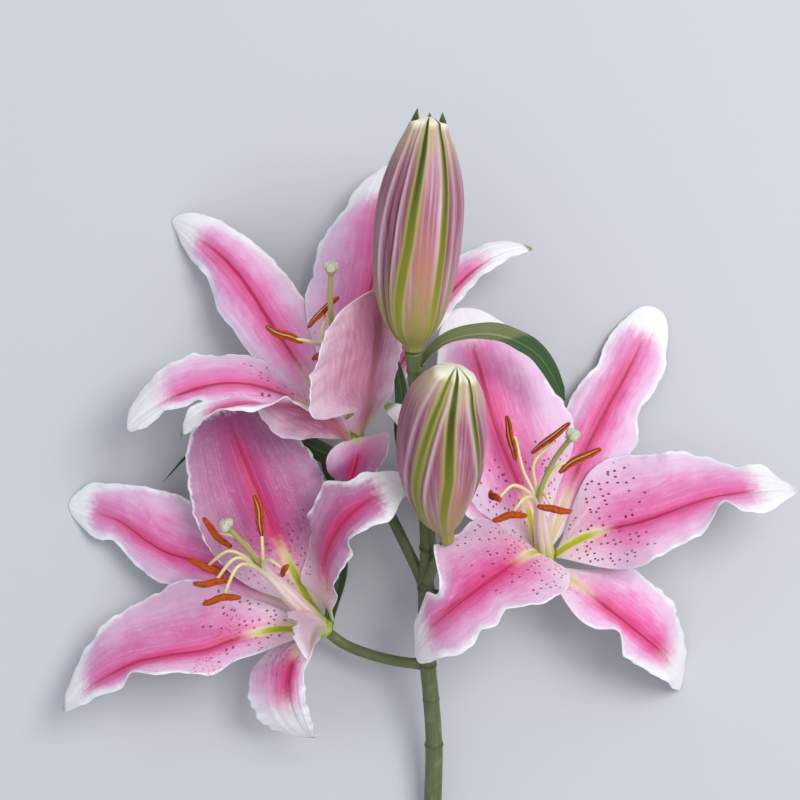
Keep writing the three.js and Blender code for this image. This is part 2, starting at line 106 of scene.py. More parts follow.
def tube(path, radius, facing, **values):
    """Points, faces and point values of a closed tube. Its rings are path + radius(s, angle) (side
    cos angle + up sin angle), where side is facing x tangent and up is tangent x side. Quads join
    the rings. A fan closes each end, round the middle of its ring and with the mean of its values."""
    tangent = unit(np.gradient(path, axis=0))
    side = unit(np.cross(facing, tangent))
    up = np.cross(tangent, side)
    n, m = radius.shape
    angle = turns(m)[None, :, None]
    rings = path[:, None] + radius[..., None] * (side[:, None] * np.cos(angle) + up[:, None] * np.sin(angle))
    i, j = np.meshgrid(np.arange(n - 1), np.arange(m), indexing="ij")
    a, b = i * m + j, i * m + (j + 1) % m
    quads = np.stack([a, b, b + m, a + m], -1).reshape(-1, 4)
    j = np.arange(m)
    foot = np.stack([np.full(m, n * m), (j + 1) % m, j], -1)
    head = np.stack([np.full(m, n * m + 1), (n - 1) * m + j, (n - 1) * m + (j + 1) % m], -1)
    grids = {key: np.broadcast_to(v, (n, m)) for key, v in values.items()}
    return (np.vstack([rings.reshape(-1, 3), rings[0].mean(0), rings[-1].mean(0)]),
            quads.tolist() + foot.tolist() + head.tolist(),
            {key: np.concatenate([g.ravel(), [g[0].mean(), g[-1].mean()]]) for key, g in grids.items()})


def fused(shells):
    """One piece of several shells that grow from each other: points, faces and point values."""
    points, faces, values, first = [], [], {}, 0
    for shell_points, shell_faces, shell_values in shells:
        points.append(shell_points)
        faces += [[k + first for k in face] for face in shell_faces]
        for key, value in shell_values.items():
            values.setdefault(key, []).append(value)
        first += len(shell_points)
    return np.vstack(points), faces, {key: np.concatenate(v) for key, v in values.items()}


def grow(name, node, slot, material, points, faces, values):
    """Makes the piece that stands for a node: its place is in its mesh, in metres, and each of
    values is a point attribute that its material reads."""
    mesh = bpy.data.meshes.new(name)
    mesh.from_pydata(((points - STEM_CENTRE) / 1000).tolist(), [], faces)
    mesh.polygons.foreach_set("use_smooth", np.ones(len(mesh.polygons), bool))
    for key, value in values.items():
        mesh.attributes.new(key, "FLOAT", "POINT").data.foreach_set("value", value.astype(np.float32))
    mesh.materials.append(material)
    mesh.update()
    piece = bpy.data.objects.new(name, mesh)
    bpy.context.scene.collection.objects.link(piece)
    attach(piece, "root")
    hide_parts(node)


def srgb(red, green, blue):
    """A colour from 0 to 255 made linear."""
    c = np.array([red, green, blue]) / 255
    return (*np.where(c < 0.04045, c / 12.92, ((c + 0.055) / 1.055) ** 2.4), 1.0)


def put(socket, value):
    """Links a socket to a shader input, or sets a number or a colour from 0 to 255 there."""
    if isinstance(value, bpy.types.NodeSocket):
        socket.id_data.links.new(value, socket)
    else:
        socket.default_value = srgb(*value) if isinstance(value, tuple) else value


def add_node(kind, *values):
    """A new node in the tree that the first socket among values belongs to."""
    home = next(value for value in values if isinstance(value, bpy.types.NodeSocket)).id_data
    return home.nodes.new(kind)


def calc(operation, a, b=0.0, clamp=False):
    """One sum, product or function of numbers over the surface."""
    made = add_node("ShaderNodeMath", a, b)
    made.operation, made.use_clamp = operation, clamp
    put(made.inputs[0], a)
    put(made.inputs[1], b)
    return made.outputs[0]


def times(*values):
    """The product of numbers over the surface."""
    return reduce(partial(calc, "MULTIPLY"), values)


def plus(*values):
    """The sum of numbers over the surface."""
    return reduce(partial(calc, "ADD"), values)


def fade(value, start, end):
    """A smooth step: 0 where value is at start or before it, 1 from end on; start may be above end."""
    made = add_node("ShaderNodeMapRange", value)
    made.interpolation_type = "SMOOTHSTEP"
    for name, number in (("Value", value), ("From Min", min(start, end)), ("From Max", max(start, end)),
                         ("To Min", float(start > end)), ("To Max", float(start < end))):
        put(made.inputs[name], number)
    return made.outputs["Result"]


def tint(amount, under, over):
    """The colour over laid on the colour under by amount."""
    made = add_node("ShaderNodeMix", amount)
    made.data_type = "RGBA"
    put(made.inputs["Factor"], amount)
    put(made.inputs[6], under)
    put(made.inputs[7], over)
    return made.outputs[2]


def coats(colour, *layers):
    """A colour with layers laid on it in turn, each an amount and a colour."""
    for amount, over in layers:
        colour = tint(amount, colour, over)
    return colour


def read(tree, keys):
    """The point values of the piece that keys names, in that order."""
    made = [tree.nodes.new("ShaderNodeAttribute") for _ in keys.split()]
    for node, key in zip(made, keys.split()):
        node.attribute_name = key
    return [node.outputs["Fac"] for node in made]


def together(x, y, z):
    """Three numbers as one place."""
    made = add_node("ShaderNodeCombineXYZ", x, y, z)
    for socket, value in zip(made.inputs, (x, y, z)):
        put(socket, value)
    return made.outputs[0]


def cloudy(place, scale, detail=3.0):
    """Soft noise from 0 to 1 at a place."""
    made = add_node("ShaderNodeTexNoise", place)
    for name, value in (("Vector", place), ("Scale", scale), ("Detail", detail)):
        put(made.inputs[name], value)
    return made.outputs["Fac"]


def relief(height, depth, strength):
    """A normal raised by height, where 1 stands for depth metres."""
    made = add_node("ShaderNodeBump", height)
    for name, value in (("Height", height), ("Distance", depth), ("Strength", strength)):
        put(made.inputs[name], value)
    return made.outputs["Normal"]


def finish_look(name, roughness, specular, through=0.0, through_radius=(1.0, 1.0, 1.0), sheen=0.0):
    """A new material with its shader's constants set, the tree for its colours and the shader's
    inputs. Light passes through it by through, as far as through_radius in millimetres."""
    material = bpy.data.materials.new(name)
    material.use_nodes = True
    shader = material.node_tree.nodes["Principled BSDF"].inputs
    shader["Roughness"].default_value = roughness
    shader["Specular IOR Level"].default_value = specular
    shader["Sheen Weight"].default_value = sheen
    if through:
        shader["Subsurface Weight"].default_value = through
        shader["Subsurface Radius"].default_value = through_radius
        shader["Subsurface Scale"].default_value = 0.001
    return material, material.node_tree, shader


def effect(name, inputs, outputs):
    """An empty shader group with named number inputs and outputs, and its two ends."""
    group = bpy.data.node_groups.new(name, "ShaderNodeTree")
    for key, start in inputs.items():
        group.interface.new_socket(key, in_out="INPUT", socket_type="NodeSocketFloat").default_value = start
    for key, kind in outputs.items():
        group.interface.new_socket(key, in_out="OUTPUT", socket_type=kind)
    return group, group.nodes.new("NodeGroupInput").outputs, group.nodes.new("NodeGroupOutput").inputs


def use(tree, group, **values):
    """Places a group in a tree and gives its outputs by name."""
    made = tree.nodes.new("ShaderNodeGroup")
    made.node_tree = group
    for key, value in values.items():
        put(made.inputs[key], value)
    return made.outputs


# Parallel veins: noise stretched along the growth, read from the place across and along.
veins, given, out = effect("parallel veins", dict(Across=0.0, Along=0.0, Seed=0.0, Count=20.0),
                           dict(Lines="NodeSocketFloat"))
put(out["Lines"], cloudy(together(
    times(given["Across"], given["Count"]), times(given["Along"], 2.2), given["Seed"]), 1.0, 2.0))

stem_look, tree, shader = finish_look("waxy stem", 0.42, 0.35, 0.08, (0.6, 0.9, 0.3))
around, along, young, scar, cut = read(tree, "round along young scar cut")
lines = use(tree, veins, Across=around, Along=along, Seed=3.0, Count=9.0)["Lines"]
# The grey-green patches are the stem's wax bloom, partly a painted highlight of its waxy surface.
put(shader["Base Color"], coats(
    DARK_OLIVE, (lines, PALE_OLIVE), (fade(cloudy(together(around, along, 0.0), 2.5, 4.0), 0.5, 0.78), WAX_AND_SHEEN),
    (times(young, 0.75), YOUNG_GREEN), (calc("MULTIPLY", scar, 0.8, True), SCAR_BROWN), (cut, CUT_FACE)))
put(shader["Normal"], relief(lines, 0.0004, 0.5))

near_nodes = [np.linspace(at - 0.015, at + 0.015, 40) for at, _ in STEM_NODES]
t = np.unique(np.concatenate([np.linspace(0, 1, 330)] + near_nodes))[:, None]
angle = turns(28)
knot = sum(swelling * bell(t - at, 0.0055) for at, swelling in STEM_NODES)
thicker = 0.05 / (1 + np.exp((t - LOW_PART) / 0.0012)) + 0.24 * bell(1 - t, 0.03) - 0.02
flutes = 1 + 0.012 * np.cos(5 * angle + 9 * t)
scar = sum((0.9 if swelling > 0.1 else 0.5) * bell(t - at, 0.004) for at, swelling in STEM_NODES)
shells = [tube(
    grown_curve(STEM_PATH, t[:, 0]),
    (STEM_R + (STEM_TOP_R - STEM_R) * t) * (1 + knot + thicker) * flutes, (0, 0, 1),
    round=half_round(angle), along=t * 12, young=t ** 2 * 0.5,
    scar=scar * (0.45 + 0.55 * np.cos(angle - 1.2 - 9 * t) ** 2), cut=(t < 0.0001) * 1.0)]
t = np.linspace(0, 1, 90)[:, None]
collar = 0.7 * ramp(t, 0.12, 0) + 0.6 * ramp(t, 0.85, 1)
for i, path in enumerate(STALK_PATHS):
    shells.append(tube(
        grown_curve(path, t[:, 0]), (STALK_R + collar) * (1 + 0.02 * np.cos(3 * angle + i)), (0, 0, 1),
        round=half_round(angle) + i, along=t * 3 + i, young=0.6 + 0.4 * t,
        scar=0.7 * bell(t - 0.03, 0.03), cut=0.0))
grow("stem.skin", "stem", "stem", stem_look, *fused(shells))

# Leaves.
# Four narrow leaves sit straight on the shoot. Each is a thin blade, creased along its middle and
# ribbed lengthwise, dark and glossy above and grey-green below, and it twists as it arches over.

# The tilt is in degrees at the foot, the middle and the tip. Foot is how far round from the narrow
# claw a leaf starts, and slim is how much its last third narrows.
LEAVES = {
    "leaf_top": dict(
        path=[(10, 15.5, 92.5), (19, 25, 92.5), (29.7, 28.8, 89), (41.2, 29.8, 84), (53, 27, 77),
              (65, 19.5, 69), (77.3, 0, 59)], width=11.8, tilt=(70, 40, 10), cup=24, foot=0.12, slim=0),
    "leaf_middle": dict(
        path=[(7.5, -40.3, 60.7), (2.8, -27, 52.3), (0.9, -14.1, 47.8), (1, -2, 49.3), (0, 9, 52.8),
              (-2.3, 20.1, 57)],
        width=7, tilt=(30, 10, 0), cup=20, foot=0.12, slim=0),
    "leaf_left": dict(
        path=[(-34.5, -113.8, 18), (-34, -106, 17.5), (-32.4, -99, 17), (-29.4, -88, 17), (-28.4, -76, 17),
              (-29.4, -55.9, 19), (-32.6, -39, 21), (-38.4, -29, 24)],
        width=8.5, tilt=(20, 30, 20), cup=20, foot=0.02, slim=0),
    "leaf_back": dict(
        path=[(-24.4, -24.2, 40.6), (-31, -26.3, 37), (-39.3, -23.9, 32), (-52, -17, 25), (-70, -12.4, 18),
              (-90, -15.6, 13), (-103.9, -26.8, 11), (-116, -40.1, 9)],
        width=12, tilt=(10, 20, 0), cup=20, foot=0.12, slim=0.84),
}
LEAF_BLADE, LEAF_CLAW = 0.9, 1.2
LEAF_DARK, LEAF_VEIN, LEAF_RIB = (34, 62, 28), (66, 98, 52), (98, 128, 76)
BELOW_DARK, BELOW_VEIN, BELOW_RIB = (84, 94, 52), (122, 130, 82), (164, 170, 120)


def between(x, places, rows):
    """Each column of rows, which are known at places, worked out at x."""
    return np.stack([np.interp(x, places, column) for column in rows.T], -1)


def blade(rows, thickness, above, below, sides, **values):
    """Points, faces and point values of a thin closed blade round a grid of points: the grid's
    normal times half the thickness, up and down, plus what above and below add, with a strip along
    the edge. Each of values is the same on both faces, and each of sides has one for each face."""
    n, m = rows.shape[:2]
    normal = unit(np.cross(np.gradient(rows, axis=1), np.gradient(rows, axis=0)))
    top = rows + normal * (thickness / 2 + above)[..., None]
    bottom = rows - normal * (thickness / 2 + below)[..., None]
    i, j = np.meshgrid(np.arange(n - 1), np.arange(m - 1), indexing="ij")
    a = (i * m + j).ravel()
    front = np.stack([a, a + 1, a + m + 1, a + m], -1)
    k = np.concatenate([np.arange(m), np.arange(2, n + 1) * m - 1, (n - 1) * m + np.arange(m - 1)[::-1],
                        np.arange(1, n - 1)[::-1] * m])
    rim = np.stack([k, k + n * m, np.roll(k, -1) + n * m, np.roll(k, -1)], -1)
    values = {key: np.tile(np.broadcast_to(v, (n, m)).ravel(), 2) for key, v in values.items()}
    values |= {key: np.concatenate([np.broadcast_to(face, (n, m)).ravel() for face in faces])
               for key, faces in sides.items()}
    return (np.vstack([top.reshape(-1, 3), bottom.reshape(-1, 3)]),
            np.vstack([front, front[:, ::-1] + n * m, rim]).tolist(), values)


leaf_look, tree, shader = finish_look("leaf", 0.38, 0.45, 0.1, (0.5, 0.9, 0.2))
across, along, upper = read(tree, "across along upper")
lines = use(tree, veins, Across=across, Along=along, Seed=11.0, Count=9.0)["Lines"]
rib = fade(calc("ABSOLUTE", across), 0.16, 0.02)
put(shader["Base Color"], tint(
    upper, coats(BELOW_DARK, (lines, BELOW_VEIN), (times(rib, 0.7), BELOW_RIB)),
    coats(LEAF_DARK, (lines, LEAF_VEIN), (times(rib, 0.6), LEAF_RIB))))
put(shader["Normal"], relief(lines, 0.0005, 0.6))

s, v = np.linspace(0, 1, 110), np.linspace(-1, 1, 25)
for leaf, shape in LEAVES.items():
    fine = grown_curve(shape["path"], np.linspace(0, 1, 600))
    length = np.concatenate([[0], np.cumsum(np.linalg.norm(np.diff(fine, axis=0), axis=1))])
    middle = between(s * length[-1], length, fine)
    heading = unit(np.gradient(middle, axis=0))
    level = unit(np.cross(heading, (0, 0, 1)))
    raised = np.cross(level, heading)
    turn = np.radians(np.interp(s, (0, 0.5, 1), shape["tilt"]))[:, None]
    across, rise = level * np.cos(turn) + raised * np.sin(turn), raised * np.cos(turn) - level * np.sin(turn)
    belly = np.sin(np.pi * np.minimum(1, shape["foot"] + (1 - shape["foot"]) * s)) ** 0.7
    half = (LEAF_CLAW + (shape["width"] / 2 - LEAF_CLAW) * belly) * np.clip((1 - s) / 0.06, 0.25, 1) ** 0.6
    half = (half * (1 - shape["slim"] * ramp(s, 0.66, 0.8) ** 0.8))[:, None]
    lift = (v ** 2 / (np.abs(v) + 0.12)) * np.tan(np.radians(shape["cup"]))
    along, swell = s[:, None], np.sin(np.pi * s[:, None])
    wave = 0.25 * v ** 2 * np.sin(2 * np.pi * 5 * along)
    turned = 1 / (1 + np.exp(-(along - 0.52 + 0.1 * v) / 0.006))
    grow(f"{leaf}.blade", leaf, "leaf", leaf_look, *blade(
        middle[:, None] + across[:, None] * (half * v)[..., None]
        + rise[:, None] * (half * lift + wave * swell)[..., None],
        LEAF_BLADE * (1 - 0.6 * v ** 4), 0.08 * np.cos(7 * np.pi * v) * swell,
        0.5 * bell(v, 0.12) * (1 - 0.7 * along),
        dict(upper=(turned, turned) if leaf == "leaf_top" else (1.0, 0.0)), across=v, along=along))

# Buds.
# A closed lily bud is six tepals folded into a spindle. Their green midribs stand out as keels, with
# pale borders and dusky pink between, and three of them end in green points at the top.
# Painted shade darkens each bud's left side, away from the light.

# A profile is places along the bud and the radius there. A keel is the degrees round the bud at its
# foot, middle and top, half its width in degrees and its strength. An edge is the same three
# degrees, the side that lies over the other, and its height. A point is its degrees and its rise.
BUDS = {
    "top_bud": dict(
        path=[(6.3, 22.7, 95.4), (6.0, 45, 105), (7.7, 71.5, 113), (10.4, 97.9, 117), (13.1, 125.6, 117.9)],
        profile=((0, 4.1), (.03, 4.6), (.06, 7.2), (.1, 10.4), (.16, 13.4), (.23, 15.6), (.3, 17.2),
                 (.38, 18.4), (.46, 19.1), (.58, 19.3), (.67, 18.7), (.74, 17.5), (.81, 15.5), (.88, 12.8),
                 (.94, 9.5), (1, 7.3)),
        keels=((-2, 2, 10, 4, .7), (62, 80, 86, 6.8, 1), (126, 127, 124, 5.8, .9), (190, 190, 190, 5, .8),
               (259, 259, 259, 4, .7), (318, 318, 318, 5, .8)),
        edges=((31, 39, 51, -1, 1), (46, 57, 64, 1, .9), (118, 121, 118, -1, 1), (138, 137, 133, 1, .7),
               (246, 246, 246, -1, .9), (268, 268, 268, 1, .9)),
        points=((28, 8.6), (150, 7.8), (270, 8))),
    "front_bud": dict(
        path=[(22, -65, 71), (18.6, -46.1, 87), (18.2, -24.9, 103), (20.2, -4.5, 115), (25, 15, 123)],
        profile=((0, 3.4), (.06, 3.6), (.09, 5.0), (.13, 8.2), (.18, 10.6), (.25, 13.2), (.32, 15.8),
                 (.4, 18.3), (.47, 19.6), (.55, 20.1), (.63, 20.1), (.7, 19.6), (.77, 18.6), (.84, 16.8),
                 (.91, 13.6), (.96, 10), (1, 6.8)),
        keels=((-25, -20, -10, 6, .6), (38, 59, 79, 8.5, .72), (88, 101, 100, 7.4, 1),
               (155, 151, 134, 5.5, .85), (215, 215, 215, 5, .8), (285, 285, 285, 5, .7)),
        edges=((24, 44, 60, -1, .7), (50, 69, 87, 1, 1), (147, 145, 128, -1, .9), (165, 160, 143, 1, .6),
               (270, 270, 270, -1, .8), (297, 297, 297, 1, .8)),
        points=((30, 1.2), (150, 1.2), (270, 1.2))),
}
DUSKY_PINK, SOFT_PINK, LEFT_SHADE, CREASE = (149, 78, 106), (180, 126, 148), (132, 66, 92), (118, 54, 72)
PALE_LINE, PALE_END, BORDER, SALMON = (218, 190, 196), (206, 200, 148), (228, 208, 212), (194, 132, 104)
FOOT_GREEN, FOOT_YELLOW, OVERLAP_SHADOW, CROWN = (140, 132, 56), (172, 162, 90), (92, 44, 56), (232, 230, 206)
KEEL_LOW, KEEL_HIGH, KEEL_DARK, KEEL_RIM = (142, 144, 44), (122, 124, 24), (48, 58, 0), (176, 176, 92)
POINT_GREEN = (82, 98, 30)


def minus(a, b):
    """The first number less the second, over the surface."""
    return calc("SUBTRACT", a, b)


bud_look, tree, shader = finish_look("bud", 0.5, 0.3, 0.15, (1.0, 0.6, 0.5), 0.1)
around, along, keel, seam, border, dusky, point = read(tree, "round along keel seam border dusky point")
lines = use(tree, veins, Across=around, Along=along, Seed=5.0, Count=56.0)["Lines"]
broad = cloudy(together(times(around, 8.0), times(along, 2.5), 2.0), 1.0)
drift = minus(broad, 0.5)
beside = times(fade(around, 0.56, 0.47), fade(around, 0.26, 0.38))
leafy = coats(tint(fade(along, 0.15, 0.40), KEEL_LOW, KEEL_HIGH),
              (times(fade(along, 0.35, 0.85), fade(keel, 0.35, 1.0)), KEEL_DARK),
              (fade(keel, 0.80, 0.25), KEEL_RIM))
put(shader["Base Color"], coats(
    tint(fade(broad, 0.36, 0.62), DUSKY_PINK, SOFT_PINK),
    # Painted shade: the left side of each bud, away from the light, is darkened in dusk mauve.
    (times(dusky, fade(broad, 0.85, 0.34)), LEFT_SHADE),
    (times(fade(lines, 0.46, 0.66), 0.35), CREASE),
    (times(fade(lines, 0.5, 0.34), 0.25), PALE_LINE),
    (times(fade(along, 0.74, 0.97), 0.55), PALE_END),
    (times(border, 0.6), BORDER),
    (times(fade(plus(along, times(drift, 0.9)), 0.72, 0.34), beside, 0.6), SALMON),
    (fade(plus(along, times(drift, 0.5)), 0.50, 0.08), tint(lines, FOOT_GREEN, FOOT_YELLOW)),
    # Painted shadow: a dark line just beside the edge where one tepal lies over the next.
    (times(seam, 0.8), OVERLAP_SHADOW),
    (fade(plus(keel, times(lines, 0.25)), 0.16, 0.80), leafy),
    (times(fade(plus(along, times(broad, 0.06)), 0.97, 1.01), fade(keel, 0.6, 0.3)), CROWN),
    (point, POINT_GREEN)))
put(shader["Normal"], relief(lines, 0.0005, 0.5))


def away_from(rows, t, angle):
    """The angle from each row's place to every place on the rings, from -pi to pi. The row's place
    swings from the degrees at the foot by those at the middle to those at the top."""
    swung = np.radians(between(t[:, 0], (0.15, 0.5, 0.85), rows[:, :3].T))
    return (angle[None, :, None] - swung[:, None] + np.pi) % (2 * np.pi) - np.pi


t, angle, q = 1 - (1 - np.linspace(0, 1, 150)[:, None]) ** 1.15, turns(236), np.linspace(0, 1, 16)[:, None]
for bud, shape in BUDS.items():
    spine = grown_curve(shape["path"], t[:, 0])
    full = np.pad(np.interp(t[:, 0], *np.array(shape["profile"]).T), 6, mode="reflect", reflect_type="odd")
    smooth = np.convolve(full, np.hanning(13) / np.hanning(13).sum(), "valid")
    keels, edges = np.array(shape["keels"]), np.array(shape["edges"])
    from_keel, from_edge = away_from(keels, t, angle), away_from(edges, t, angle) * edges[:, 3]
    slender = 1.2 - 0.25 * t - 0.2 * ramp(t, 0.88, 1)
    green = bell(from_keel, np.radians(keels[:, 3]) * slender[..., None]) * keels[:, 4]
    ridge = bell(from_keel, 0.22) * keels[:, 4]
    over = np.tanh(from_edge / 0.02) * bell(from_edge, 0.26) * edges[:, 4]
    hem = bell(from_edge - 0.07, 0.05) * edges[:, 4]
    # The shade value below is a painted shadow line along each overlapping edge; it also sinks the surface a
    # little there.
    shade = bell(from_edge + 0.02, 0.035) * edges[:, 4]
    swell = np.sin(np.pi * t) ** 0.4
    folds = 0.055 * ridge.sum(-1) + 0.035 * over.sum(-1) + 0.02 * hem.sum(-1) - 0.03 * shade.sum(-1)
    lobes = 0.09 * np.cos(3 * (angle - np.radians(shape["points"][0][0]))) + 0.03 * np.sin(7 * angle + 2)
    close = np.clip((1 - t) / 0.028, 0.02, 1) ** 0.5
    # The painted shade value is highest on each bud's left side, away from the light.
    shells = [tube(
        spine, smooth[:, None] * (1 + folds * swell + lobes * ramp(t, 0.88, 0.98)) * close, (0, 0, 1),
        round=half_round(angle), along=t, dusky=np.clip(0.1 + np.cos(angle - 0.3), 0, 1),
        keel=np.clip(green.max(-1), 0, 1), seam=np.clip(shade.max(-1), 0, 1) * swell,
        border=np.clip(hem.max(-1), 0, 1) * swell, point=0.0)]
    axis, side = unit(spine[-1] - spine[-20]), unit(np.cross((0, 0, 1), spine[-1] - spine[-20]))
    wide, seat = np.interp(0.95, t[:, 0], smooth), spine[np.searchsorted(t[:, 0], 0.95)]
    oval = 1 + 0.3 * np.cos(2 * turns(16))
    for degrees, rise in shape["points"]:
        out = side * np.cos(np.radians(degrees)) + np.cross(axis, side) * np.sin(np.radians(degrees))
        shells.append(tube(
            seat + out * wide * (0.80 - 0.1 * q) + axis * (rise * q),
            (2.2 * (1 - q ** 2.2) * (1 - 0.3 * q) + 0.1) * oval, out,
            round=0.5, along=0.8, keel=1.0, seam=0.0, border=0.0, dusky=0.0, point=ramp(q, 0.4, 0.8)))
    grow(f"{bud}.skin", bud, "bud", bud_look, *fused(shells))

# Petals and sepals.
# Three broad petals grow inside three narrower sepals at the foot of each bloom, thin, soft and
# curled back: pink with a crimson midrib, a white margin and raised spots, and paler behind.

BLOOMS = {
    "right_bloom": dict(base=(70.3, -75.6, 22), axis=(0.155, 0.62, 0.77)),
    "left_bloom": dict(base=(-38.7, -109.2, 26), axis=(-0.43, 0.42, 0.80)),
    "top_bloom": dict(base=(-22.8, -14.2, 47), axis=(-0.11, 0.86, 0.50)),
}
PETAL_RING, SEPAL_RING, SEPAL_DROP, TEPAL_BLADE, TEPAL_CLAW = 5.0, 6.2, 1.5, 0.8, 1.6
# Angles are in degrees and sizes in millimetres. Widest is a place along the tepal, and skew how
# much wider one side is than the other.
TEPAL_SHAPE = ("azimuth", "sway", "lean", "flare", "bend", "length", "width", "widest", "taper", "skew",
               "cup", "first_turn", "last_turn", "ruffle", "waves", "phase")
# How deep the pink is, how wide the white margin is in millimetres, how many spots there are and how
# far along they reach, how rosy the back is, how far the midrib lies off the middle and where, how
# far the throat's colours reach, how green the tip is, and how much painted shade, in mauve, darkens the
# whole face.
TEPAL_PAINT = ("pink", "margin", "spots", "reach", "rosy", "rib", "rib_at", "throat", "point", "mauve")
